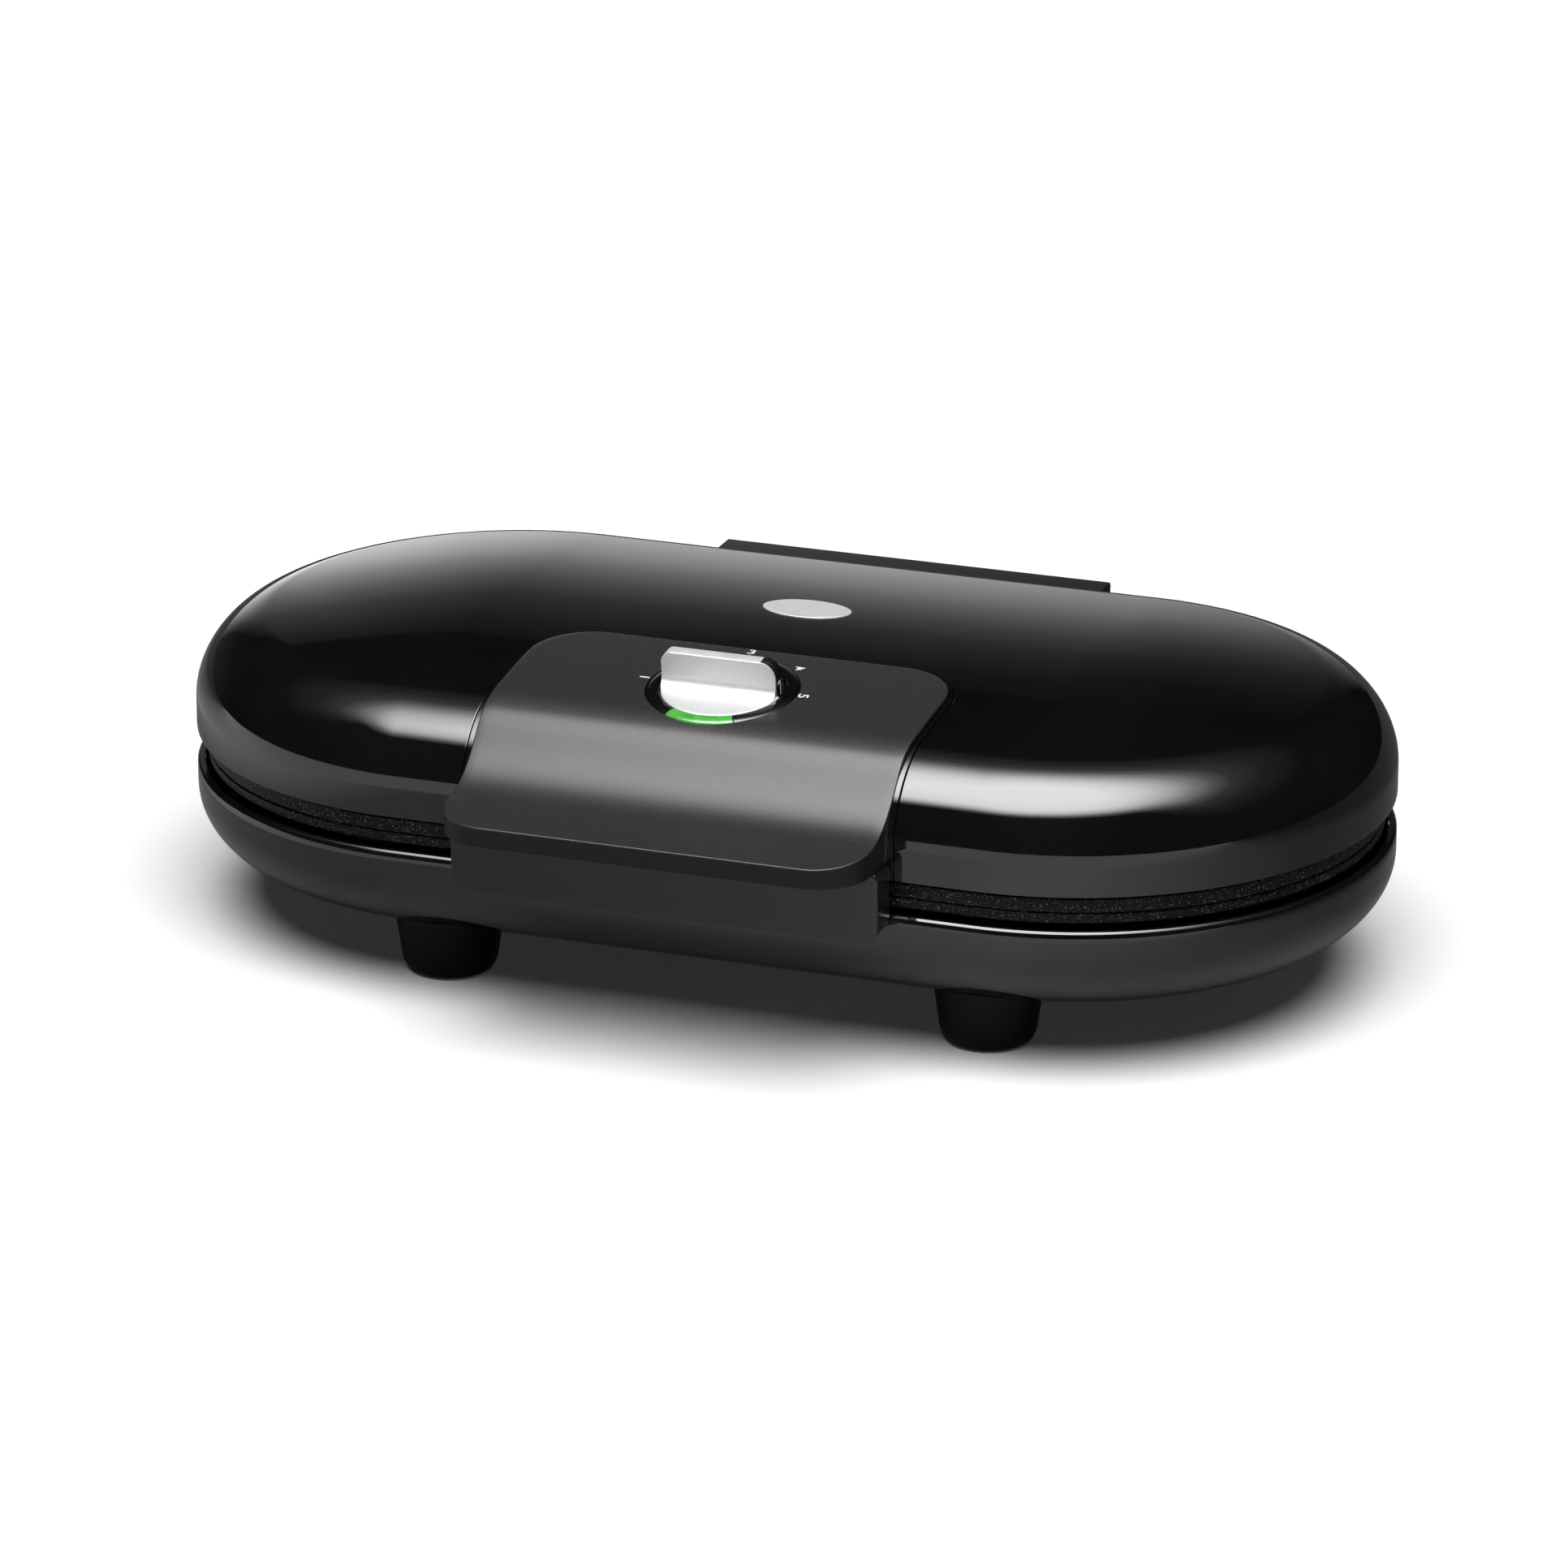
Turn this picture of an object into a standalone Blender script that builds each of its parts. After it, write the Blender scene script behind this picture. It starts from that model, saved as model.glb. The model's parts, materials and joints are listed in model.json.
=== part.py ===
"""Donut maker: a clamshell appliance with two cast mould plates, a hinged lid and a thermostat knob.

Metres, +X right, +Y towards the hinge, +Z up. The origin is on the surface that the appliance stands on,
under the middle of the box around it with its lid shut. Pieces are drawn in the body frame, whose Y is 0
on the middle line of the oblong body, and the root empty moves them back by BODY_Y.
"""

import math

import bmesh
import bpy
from mathutils import Matrix, Vector
from mathutils.geometry import interpolate_bezier

MM = 0.001
GAP = 0.3 * MM  # left between pieces that touch

# The oblong body: a straight middle with a half-round end on each side.
BODY_LENGTH = 430 * MM
STRAIGHT_HALF = 105 * MM
END_RADIUS = BODY_LENGTH / 2 - STRAIGHT_HALF
HALF_WIDTH = 113 * MM
BODY_Y = 6.75 * MM
END_STEPS = 16
WALL = 3 * MM

# Heights
BASE_BOTTOM_Z = 20 * MM
BASE_BEND_Z = 47 * MM
BASE_RIM_Z = 55.2 * MM
PARTING_Z = 60.6 * MM
LID_RIM_Z = 67.2 * MM
LID_BEND_Z = 78 * MM

# Curves of the two casings, measured inwards from the outline
BASE_BEND_WIDTH = 36 * MM
LID_BEND_WIDTH = 26 * MM
LID_BEND_RISE = 25 * MM
CROWN_RISE = 10.5 * MM
BEND_STEPS = 6

# Hinge
HINGE_Y = 124 * MM
HINGE_Z = 61 * MM
BARREL_RADIUS = 7 * MM
BLOCK_HALF = 73.5 * MM
REAR_Y = 134.5 * MM
LID_BLOCK_TOP_Z = 95 * MM
LID_KNUCKLE_HALF = 42 * MM
BASE_KNUCKLE_IN = 43 * MM
BASE_KNUCKLE_OUT = 70 * MM
PIN_RADIUS = 2.5 * MM
PIN_BORE_RADIUS = 2.8 * MM

# Front handle
PANEL_HALF = 75.5 * MM
PANEL_TOP_Y = -33 * MM
PANEL_RISE = 1.8 * MM
LIP_Y = -148 * MM
LIP_TOP_Z = 81.6 * MM
LIP_BOTTOM_Z = 74.7 * MM
LIP_CORNER = 18 * MM
PANEL_CORNER = 22 * MM
SEAM = 1.8 * MM  # width of the handle body that shows around the panel
SEAM_GAP = 0.4 * MM
BASE_HANDLE_HALF = 76.6 * MM
BASE_HANDLE_Y = -125.7 * MM
BASE_HANDLE_BOTTOM_Z = 49.2 * MM
BASE_HANDLE_TOP_Z = 74.1 * MM

BADGE_Y = 17 * MM

# Thermostat knob, drawn along its own axis from the plane of its dish
KNOB_Y = -67 * MM
KNOB_Z = 110.9 * MM
KNOB_TILT = math.radians(7.5)
DISH_RADIUS = 26.3 * MM
DISH_INNER = 21.8 * MM
DISH_DEPTH = 7.5 * MM
KNOB_RADIUS = 21.2 * MM
KNOB_TOP = 0.9 * MM
FIN_HALF = 2.5 * MM
FIN_HEIGHT = 13.2 * MM
CAP_END_X = 17 * MM
LENS_ANGLE = math.radians(56)
LENS_INNER = 22.2 * MM

# Mould plates
MOULD_PITCH = 94 * MM
MOULD_COLUMNS = (-1.5, -0.5, 0.5, 1.5)
MOULD_ROWS = (-0.5, 0.5)
RING_RADIUS = 24.5 * MM
RING_HALF = 15 * MM
RING_DEPTH = 13 * MM
CAST_WALL = 3 * MM
PLATE_INSET = 4 * MM
PLATE_GAP = 0.2 * MM
MOULD_STEPS = 16
MOULD_BACK_STEPS = 12
PLATE_SCREW_XS = {"left": -94 * MM, "centre": 0.0, "right": 94 * MM}
SHELL_POST_XS = (-141 * MM, -47 * MM, 47 * MM, 141 * MM)
SHIELD_FACE = 27.2 * MM  # from the parting plane to the shield's inner face
SHIELD_SHEET = 0.8 * MM
ELEMENT_RADIUS = 3.25 * MM
ELEMENT_REACH = 120 * MM
ELEMENT_BEND = 47 * MM
TERMINAL_X = 12 * MM
TERMINAL_Y = 72 * MM

# Feet
FOOT_X = 98.5 * MM
FOOT_Y = 74 * MM
FOOT_TOP_RADIUS = 19 * MM
FOOT_LOW_RADIUS = 16.6 * MM
PAD_RADIUS = 11 * MM

GLOSS_BLACK = ("gloss_black", (0.012, 0.012, 0.013), 0.12, 0.0)
MATTE_BLACK = ("matte_black", (0.035, 0.035, 0.037), 0.55, 0.0)
DARK_PLASTIC = ("dark_plastic", (0.02, 0.02, 0.021), 0.42, 0.0)
NON_STICK = ("non_stick", (0.018, 0.018, 0.02), 0.5, 0.3)
SATIN_METAL = ("satin_metal", (0.78, 0.78, 0.79), 0.3, 1.0)
STEEL = ("steel", (0.5, 0.5, 0.5), 0.35, 1.0)
SHEET_STEEL = ("sheet_steel", (0.62, 0.62, 0.63), 0.4, 1.0)
GREEN_LENS = ("green_lens", (0.1, 0.62, 0.12), 0.15, 0.0)
RUBBER = ("rubber", (0.02, 0.02, 0.02), 0.8, 0.0)
WHITE_PLASTIC = ("white_plastic", (0.8, 0.78, 0.72), 0.6, 0.0)
WIRE_RED = ("wire_red", (0.35, 0.03, 0.02), 0.5, 0.0)


def clear_scene():
    for obj in list(bpy.data.objects):
        bpy.data.objects.remove(obj, do_unlink=True)


def new_collection(name):
    collection = bpy.data.collections.new(name)
    bpy.context.scene.collection.children.link(collection)
    return collection


def material(spec):
    name, colour, roughness, metallic = spec
    found = bpy.data.materials.get(name)
    if found:
        return found
    made = bpy.data.materials.new(name)
    made.use_nodes = True
    shader = made.node_tree.nodes["Principled BSDF"]
    shader.inputs["Base Color"].default_value = (*colour, 1.0)
    shader.inputs["Roughness"].default_value = roughness
    shader.inputs["Metallic"].default_value = metallic
    made.diffuse_color = (*colour, 1.0)
    return made


clear_scene()
PARTS = new_collection("donut_maker")
CUTTERS = new_collection("cutters")


def add_empty(name, parent, place):
    empty = bpy.data.objects.new(name, None)
    empty.empty_display_size = 0.02
    PARTS.objects.link(empty)
    empty.parent = parent
    empty.matrix_basis = place
    return empty


ROOT = add_empty("donut_maker_root", None, Matrix.Translation((0, BODY_Y, 0)))
HINGE = Vector((0, HINGE_Y, HINGE_Z))
LID = add_empty("lid_hinge_axis", ROOT, Matrix.Translation(HINGE))
KNOB_PLACE = Matrix.Translation((0, KNOB_Y, KNOB_Z)) @ Matrix.Rotation(KNOB_TILT, 4, "X")
KNOB = add_empty("knob_axis", LID, Matrix.Translation(-HINGE) @ KNOB_PLACE)

# Each owner gives the empty that carries a piece and the place of the frame that the piece is drawn in.
ON_BASE = (ROOT, Matrix())
ON_LID = (LID, Matrix.Translation(-HINGE))
ON_LID_AT_KNOB = (LID, Matrix.Translation(-HINGE) @ KNOB_PLACE)
ON_KNOB = (KNOB, Matrix())
AT_KNOB = (ROOT, KNOB_PLACE)


# ---- modelling helpers ----

# How an outline is turned: (x, y) along Z, (y, z) along X, or (x, z) along -Y.
OUTLINE_TURNS = {
    "Z": Matrix(),
    "X": Matrix(((0, 0, 1, 0), (1, 0, 0, 0), (0, 1, 0, 0), (0, 0, 0, 1))),
    "Y": Matrix(((1, 0, 0, 0), (0, 0, -1, 0), (0, 1, 0, 0), (0, 0, 0, 1))),
}


def finish(obj, spec, owner):
    """Gives a piece its material, its carrier and smooth shading with sharp corners kept."""
    obj.parent = owner[0]
    obj.matrix_basis = owner[1] @ obj.matrix_basis
    obj.data.materials.append(material(spec))
    if obj.type == "MESH":
        obj.data.shade_smooth()
        obj.data.set_sharp_from_angle(angle=math.radians(35))
    return obj


def from_bmesh(name, bm):
    mesh = bpy.data.meshes.new(name)
    bm.to_mesh(mesh)
    bm.free()
    obj = bpy.data.objects.new(name, mesh)
    PARTS.objects.link(obj)
    return obj


def as_cutter(obj, owner=ON_BASE):
    """Keeps an object as a tool for Boolean modifiers only."""
    PARTS.objects.unlink(obj)
    CUTTERS.objects.link(obj)
    obj.parent = owner[0]
    obj.matrix_basis = owner[1] @ obj.matrix_basis
    obj.hide_render = True
    obj.display_type = "WIRE"
    return obj


def boolean(obj, tool, operation="DIFFERENCE"):
    modifier = obj.modifiers.new(f"{operation.lower()}_{tool.name}", "BOOLEAN")
    modifier.operation = operation
    modifier.solver = "EXACT"
    if isinstance(tool, bpy.types.Collection):
        modifier.operand_type = "COLLECTION"
        modifier.collection = tool
    else:
        modifier.object = tool
    return obj


def solidify(obj, thickness):
    modifier = obj.modifiers.new("wall", "SOLIDIFY")
    modifier.thickness = thickness
    modifier.offset = -1
    modifier.use_even_offset = True


def turned(name, profile, steps=24, closed=False):
    """A turned piece. The profile lists (radius, height) down its outer side, axis end to axis end."""
    mesh = bpy.data.meshes.new(name)
    edges = [(i, i + 1) for i in range(len(profile) - 1)]
    if closed:
        edges.append((len(profile) - 1, 0))
    mesh.from_pydata([(radius, 0, height) for radius, height in profile], edges, [])
    obj = bpy.data.objects.new(name, mesh)
    PARTS.objects.link(obj)
    modifier = obj.modifiers.new("turn", "SCREW")
    modifier.steps = steps
    modifier.render_steps = steps
    modifier.use_merge_vertices = True
    modifier.merge_threshold = 0.00001
    return obj


def prism(name, outline, low, high, axis="Z"):
    """A flat outline pushed from low to high along Z, or along X or Y for an outline seen down that axis."""
    curve = bpy.data.curves.new(name, "CURVE")
    curve.dimensions = "2D"
    curve.fill_mode = "BOTH"
    curve.extrude = (high - low) / 2
    spline = curve.splines.new("POLY")
    spline.use_cyclic_u = True
    spline.points.add(len(outline) - 1)
    for point, place in zip(spline.points, outline):
        point.co = (*place, 0, 1)
    drawn = bpy.data.objects.new(name, curve)
    bm = bmesh.new()
    bm.from_mesh(bpy.data.meshes.new_from_object(drawn))
    bpy.data.objects.remove(drawn)
    bmesh.ops.remove_doubles(bm, verts=bm.verts, dist=1e-6)
    bmesh.ops.translate(bm, verts=bm.verts, vec=(0, 0, (low + high) / 2))
    bmesh.ops.transform(bm, matrix=OUTLINE_TURNS[axis], verts=bm.verts)
    bmesh.ops.recalc_face_normals(bm, faces=bm.faces)
    return from_bmesh(name, bm)


def rod(name, radius, start, end, sides=16):
    """A round bar between two points."""
    line = Vector(end) - Vector(start)
    bm = bmesh.new()
    bmesh.ops.create_cone(bm, cap_ends=True, segments=sides, radius1=radius, radius2=radius,
                          depth=line.length)
    obj = from_bmesh(name, bm)
    obj.matrix_basis = Matrix.Translation((Vector(start) + Vector(end)) / 2) @ (
        line.to_track_quat("Z", "Y").to_matrix().to_4x4())
    return obj


def tube(name, points, radius):
    """A bent wire or tube through the points, with closed ends."""
    curve = bpy.data.curves.new(name, "CURVE")
    curve.dimensions = "3D"
    curve.bevel_depth = radius
    curve.bevel_resolution = 2
    curve.use_fill_caps = True
    spline = curve.splines.new("POLY")
    spline.points.add(len(points) - 1)
    for point, place in zip(spline.points, points):
        point.co = (*place, 1)
    obj = bpy.data.objects.new(name, curve)
    PARTS.objects.link(obj)
    return obj


def arc(centre, radius, start, end, steps):
    """Points on a circle in a plane, from one angle in degrees to another."""
    angles = [math.radians(start + (end - start) * i / steps) for i in range(steps + 1)]
    return [(centre[0] + radius * math.cos(a), centre[1] + radius * math.sin(a)) for a in angles]


def rounded_box(x_low, x_high, y_low, y_high, low_corner, high_corner, steps=5):
    """A rectangle whose two low-Y corners and two high-Y corners have their own radii."""
    return (
        arc((x_low + low_corner, y_low + low_corner), low_corner, 180, 270, steps)
        + arc((x_high - low_corner, y_low + low_corner), low_corner, 270, 360, steps)
        + arc((x_high - high_corner, y_high - high_corner), high_corner, 0, 90, steps)
        + arc((x_low + high_corner, y_high - high_corner), high_corner, 90, 180, steps)
    )


def oblong(name, profile):
    """An oblong surface. The profile lists (inset from the outline, height).

    Its profile is swept round the +X end, drawn on to the middle plane and mirrored there.
    """
    bm = bmesh.new()
    rail = [bm.verts.new((0, END_RADIUS - inset, height)) for inset, height in profile]
    edges = [bm.edges.new(pair) for pair in zip(rail, rail[1:])]
    bmesh.ops.spin(bm, geom=rail + edges, cent=(0, 0, 0), axis=(0, 0, -1), angle=math.pi,
                   steps=END_STEPS, use_duplicate=False)
    bmesh.ops.remove_doubles(bm, verts=bm.verts, dist=1e-6)
    seam = [edge for edge in bm.edges if all(abs(vert.co.x) < 1e-6 for vert in edge.verts)]
    drawn = bmesh.ops.extrude_edge_only(bm, edges=seam)
    inner = [item for item in drawn["geom"] if isinstance(item, bmesh.types.BMVert)]
    bmesh.ops.translate(bm, verts=bm.verts, vec=(STRAIGHT_HALF, 0, 0))
    bmesh.ops.translate(bm, verts=inner, vec=(-STRAIGHT_HALF, 0, 0))
    bmesh.ops.scale(bm, verts=bm.verts, vec=(1, HALF_WIDTH / END_RADIUS, 1))
    bmesh.ops.recalc_face_normals(bm, faces=bm.faces)
    obj = from_bmesh(name, bm)
    mirror = obj.modifiers.new("mirror", "MIRROR")
    mirror.merge_threshold = 0.00001
    return obj


# ---- outlines that several pieces share ----


def crown(inset):
    """How far the broad crown of the lid has risen at a distance in from the outline."""
    return CROWN_RISE * (1 - (1 - inset / END_RADIUS) ** 2)


def bend(steps):
    """Angles through a quarter turn."""
    return [math.pi / 2 * i / steps for i in range(steps + 1)]


def lid_profile():
    """Outer profile of the lid from its rim to its middle."""
    points = [(0.0, LID_RIM_Z)]
    for angle in bend(BEND_STEPS):
        inset = LID_BEND_WIDTH * (1 - math.cos(angle))
        points.append((inset, LID_BEND_Z + LID_BEND_RISE * math.sin(angle) + crown(inset)))
    for inset in (48 * MM, 78 * MM, END_RADIUS):
        points.append((inset, LID_BEND_Z + LID_BEND_RISE + crown(inset)))
    return points


def base_profile():
    """Outer profile of the base from its rim to its middle."""
    points = [(0.0, BASE_RIM_Z)]
    for angle in bend(BEND_STEPS):
        inset = BASE_BEND_WIDTH * (1 - math.cos(angle))
        points.append((inset, BASE_BEND_Z - (BASE_BEND_Z - BASE_BOTTOM_Z) * math.sin(angle)))
    points.append((END_RADIUS, BASE_BOTTOM_Z))
    return points


def straight_edge(inset):
    """Distance from the middle line, along a straight side, at an inset from the outline."""
    return HALF_WIDTH * (1 - inset / END_RADIUS)


def lid_section(side, clearance, reach):
    """Section of the lid's outside, (y, z) from the rim inwards, on the -Y (side -1) or +Y (side 1) half.

    It stands clear of the lid by the clearance and stops short of the inset given by reach.
    """
    points = []
    for inset, height in lid_profile()[1:]:
        if inset < reach:
            share = min(inset / LID_BEND_WIDTH, 1)
            points.append((side * (straight_edge(inset) + clearance * (1 - share)), height + clearance * share))
    return points


def base_section(side, clearance, floor):
    """Section of the base's outside, (y, z) from the rim down to the given floor, clear of it."""
    points = []
    for inset, height in base_profile():
        if height > floor:
            points.append((side * (straight_edge(inset) + clearance), height))
    return points


def parting(side, height):
    """Height above the floor of something a given height away from the parting plane."""
    return PARTING_Z + side * height


# ---- casings ----


def make_base_shell():
    shell = oblong("base_shell", base_profile())
    solidify(shell, WALL)
    cable_hole = rod("cable_hole", 5.8 * MM, (0, 100 * MM, 38.5 * MM), (0, 118 * MM, 38.5 * MM))
    posts = new_collection("base_posts")
    for index, x in enumerate(SHELL_POST_XS):
        post = rod(f"base_post_{index}", 5 * MM, (x, 0, BASE_BOTTOM_Z + 1 * MM),
                   (x, 0, parting(-1, SHIELD_FACE + SHIELD_SHEET + GAP)), sides=10)
        posts.objects.link(as_cutter(post))
    boolean(shell, posts, "UNION")
    boolean(shell, as_cutter(cable_hole))
    finish(shell, GLOSS_BLACK, ON_BASE)


def handle_prism(name, grow):
    """The upright prism that divides the handle body from the lid, grown or shrunk on every side."""
    edge = PANEL_HALF + SEAM + grow
    back = PANEL_TOP_Y + SEAM + grow
    outline = rounded_box(-edge, edge, LIP_Y, back, 1 * MM, PANEL_CORNER + SEAM + grow)
    return as_cutter(prism(name, outline, PARTING_Z, 140 * MM))


def knob_hole(name, radius=DISH_RADIUS + GAP):
    return as_cutter(rod(name, radius, (0, 0, -20 * MM), (0, 0, 10 * MM), sides=32), AT_KNOB)


def make_lid_shell(notch):
    shell = oblong("lid_shell", lid_profile())
    solidify(shell, WALL)
    posts = new_collection("lid_posts")
    for index, x in enumerate(SHELL_POST_XS):
        post = rod(f"lid_post_{index}", 5 * MM, (x, 0, parting(1, SHIELD_FACE + SHIELD_SHEET + GAP)),
                   (x, 0, 110.5 * MM), sides=10)
        posts.objects.link(as_cutter(post))
    boolean(shell, posts, "UNION")
    boolean(shell, notch)
    finish(shell, GLOSS_BLACK, ON_LID)


def make_handle_body(core, hole):
    body = oblong("lid_handle_body", lid_profile())
    solidify(body, WALL)
    boolean(body, core, "INTERSECT")
    boolean(body, hole)
    finish(body, GLOSS_BLACK, ON_LID)


def make_handle_panel(hole):
    """The matte cover of the handle: it follows the lid, then sweeps out into the lip."""
    reach = HALF_WIDTH + PANEL_TOP_Y
    follows = [(y, z) for y, z in lid_section(-1, PANEL_RISE, reach + 20 * MM) if y > -97 * MM]
    sweep = interpolate_bezier((-96 * MM, 106.3 * MM), (-104 * MM, 102 * MM), (-113 * MM, 86 * MM),
                               (-130 * MM, 84 * MM), 8)
    upper = [tuple(point) for point in sweep[::-1]] + follows[1:]
    lower = lid_section(-1, SEAM_GAP, reach + 20 * MM)
    outline = [(LIP_Y, LIP_BOTTOM_Z), (LIP_Y, LIP_TOP_Z)] + upper + lower[::-1]
    outline.append((-HALF_WIDTH - SEAM_GAP, LIP_BOTTOM_Z))
    panel = prism("handle_panel", outline, -PANEL_HALF - 1 * MM, PANEL_HALF + 1 * MM, "X")
    plan = rounded_box(-PANEL_HALF, PANEL_HALF, LIP_Y, PANEL_TOP_Y, LIP_CORNER, PANEL_CORNER)
    boolean(panel, as_cutter(prism("panel_plan", plan, PARTING_Z, 140 * MM)), "INTERSECT")
    boolean(panel, hole)
    finish(panel, MATTE_BLACK, ON_LID)


def make_base_handle():
    """The fixed grip under the lip, hooked over the front wall of the base."""
    back = base_section(-1, GAP, 44 * MM)
    outline = [(BASE_HANDLE_Y, 44 * MM), (BASE_HANDLE_Y, BASE_HANDLE_TOP_Z),
               (-HALF_WIDTH - 1 * MM, BASE_HANDLE_TOP_Z), (-HALF_WIDTH - 1 * MM, BASE_RIM_Z)] + back
    outline.append((back[-1][0], 44 * MM))
    handle = prism("base_handle", outline, -BASE_HANDLE_HALF - 1 * MM, BASE_HANDLE_HALF + 1 * MM, "X")
    face = rounded_box(-BASE_HANDLE_HALF, BASE_HANDLE_HALF, BASE_HANDLE_BOTTOM_Z, BASE_HANDLE_TOP_Z,
                       6 * MM, 3 * MM, steps=4)
    boolean(handle, as_cutter(prism("base_handle_face", face, 100 * MM, 130 * MM, "Y")), "INTERSECT")
    finish(handle, DARK_PLASTIC, ON_BASE)


def make_badge():
    """A plain oval plate let into the crown of the lid."""
    badge = turned("badge", [(0, 0.8 * MM), (7.4 * MM, 0.8 * MM), (8 * MM, 0.3 * MM), (8 * MM, -0.2 * MM),
                             (0, -0.2 * MM)], steps=32)
    place_z = LID_BEND_Z + LID_BEND_RISE + crown(END_RADIUS * (1 - BADGE_Y / HALF_WIDTH)) + 0.5 * MM
    badge.matrix_basis = Matrix.Translation((0, BADGE_Y, place_z)) @ (
        Matrix.Rotation(math.radians(-1.5), 4, "X") @ Matrix.Diagonal((2.0, 1.25, 1, 1)))
    finish(badge, SATIN_METAL, ON_LID)


# ---- hinge ----


def make_lid_hinge_block():
    low = HINGE_Z + BARREL_RADIUS + 1 * MM
    wall = [(y, z) for y, z in lid_section(1, GAP, 7 * MM) if z < LID_BLOCK_TOP_Z]
    meeting = (wall[-1][0] - 2.2 * MM, LID_BLOCK_TOP_Z)
    outline = [(HALF_WIDTH + GAP, low)] + wall + [meeting, (REAR_Y, LID_BLOCK_TOP_Z), (REAR_Y, low)]
    block = prism("lid_hinge_block", outline, -BLOCK_HALF, BLOCK_HALF, "X")
    web = [(HINGE_Y - 6 * MM, HINGE_Z), (HINGE_Y + 5.5 * MM, HINGE_Z), (HINGE_Y + 5.5 * MM, low + 2 * MM),
           (HINGE_Y - 6 * MM, low + 2 * MM)]
    joins = new_collection("lid_knuckle")
    joins.objects.link(as_cutter(prism("lid_web", web, -LID_KNUCKLE_HALF, LID_KNUCKLE_HALF, "X")))
    boolean(block, joins, "UNION")
    boolean(block, knuckle("lid_barrel", -LID_KNUCKLE_HALF - 0.2 * MM, LID_KNUCKLE_HALF + 0.2 * MM), "UNION")
    for side, name in ((-1, "left"), (1, "right")):
        bore = rod(f"lid_bore_{name}", PIN_BORE_RADIUS, (side * 26 * MM, HINGE_Y, HINGE_Z),
                   (side * 50 * MM, HINGE_Y, HINGE_Z))
        boolean(block, as_cutter(bore))
    finish(block, MATTE_BLACK, ON_LID)


def knuckle(name, x_low, x_high):
    return as_cutter(rod(name, BARREL_RADIUS, (x_low, HINGE_Y, HINGE_Z), (x_high, HINGE_Y, HINGE_Z), 20))


def make_base_hinge_block():
    top = HINGE_Z - BARREL_RADIUS - 1 * MM
    ledge = HINGE_Z - 13.5 * MM
    foot = 30 * MM
    wall = base_section(1, GAP, foot)
    outline = [(wall[0][0], top)] + wall[1:] + [(wall[-1][0] - 1 * MM, foot), (REAR_Y, foot), (REAR_Y, ledge),
                                                (HINGE_Y + 5.5 * MM, ledge), (HINGE_Y + 5.5 * MM, top)]
    block = prism("base_hinge_block", outline, -BLOCK_HALF, BLOCK_HALF, "X")
    web = [(HINGE_Y - 6 * MM, top - 2 * MM), (HINGE_Y + 5 * MM, top - 2 * MM), (HINGE_Y + 5 * MM, HINGE_Z),
           (HINGE_Y - 6 * MM, HINGE_Z)]
    for side, name in ((-1, "left"), (1, "right")):
        span = sorted((side * BASE_KNUCKLE_IN, side * BASE_KNUCKLE_OUT))
        boolean(block, as_cutter(prism(f"base_web_{name}", web, span[0], span[1], "X")), "UNION")
        boolean(block, knuckle(f"base_barrel_{name}", span[0] - 0.2 * MM, span[1] + 0.2 * MM), "UNION")
        bore = rod(f"base_bore_{name}", PIN_BORE_RADIUS, (side * 40 * MM, HINGE_Y, HINGE_Z),
                   (side * 72 * MM, HINGE_Y, HINGE_Z))
        boolean(block, as_cutter(bore))
        pin = rod(f"hinge_pin_{name}", PIN_RADIUS, (side * 28 * MM, HINGE_Y, HINGE_Z),
                  (side * 69.5 * MM, HINGE_Y, HINGE_Z))
        finish(pin, STEEL, ON_BASE)
    cable_bore = rod("cable_bore", 5.6 * MM, (0, 100 * MM, 38.5 * MM), (0, 140 * MM, 38.5 * MM))
    boolean(block, as_cutter(cable_bore))
    seat = rod("gland_seat", 8.2 * MM, (0, REAR_Y - 2.6 * MM, 38.5 * MM), (0, 140 * MM, 38.5 * MM), 24)
    boolean(block, as_cutter(seat))
    finish(block, MATTE_BLACK, ON_BASE)


def make_cord_gland():
    """The bush that the mains lead leaves by. Its hole is blind, because the lead itself is left out."""
    outline = [(0, -3.6 * MM), (3.4 * MM, -3.6 * MM), (3.4 * MM, 0), (7.8 * MM, 0), (7.8 * MM, -2 * MM),
               (5.2 * MM, -2.2 * MM), (5.2 * MM, -27 * MM), (0, -27 * MM)]
    gland = turned("cord_gland", outline)
    gland.matrix_basis = Matrix.Translation((0, REAR_Y - 0.2 * MM, 38.5 * MM)) @ (
        Matrix.Rotation(math.radians(-90), 4, "X"))
    finish(gland, RUBBER, ON_BASE)


# ---- mould plates, elements and shields, once below and once above the parting plane ----


def mould_centres():
    return [(column * MOULD_PITCH, row * MOULD_PITCH) for row in MOULD_ROWS for column in MOULD_COLUMNS]


def ring_profile(side, half, depth, start, facets):
    """Half of a ring mould's section: a bowl between its inner and outer edges, from its start downwards."""
    bowl = [(RING_RADIUS + half * math.cos(a * 2), depth * math.sin(a * 2)) for a in bend(facets)]
    bowl = [point for point in bowl if point[1] > start]
    points = [(RING_RADIUS + half, start)] + bowl + [(RING_RADIUS - half, start)]
    if side < 0:
        return [(radius, -height) for radius, height in points]
    return points[::-1]


def mould_rings(name, side, profile, steps):
    """A collection of eight ring solids, as tools for the plate."""
    rings = new_collection(name)
    for index, (x, y) in enumerate(mould_centres()):
        ring = turned(f"{name}_{index}", profile, steps, closed=True)
        ring.matrix_basis = Matrix.Translation((x, y, parting(side, PLATE_GAP)))
        rings.objects.link(as_cutter(ring))
    return rings


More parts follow.
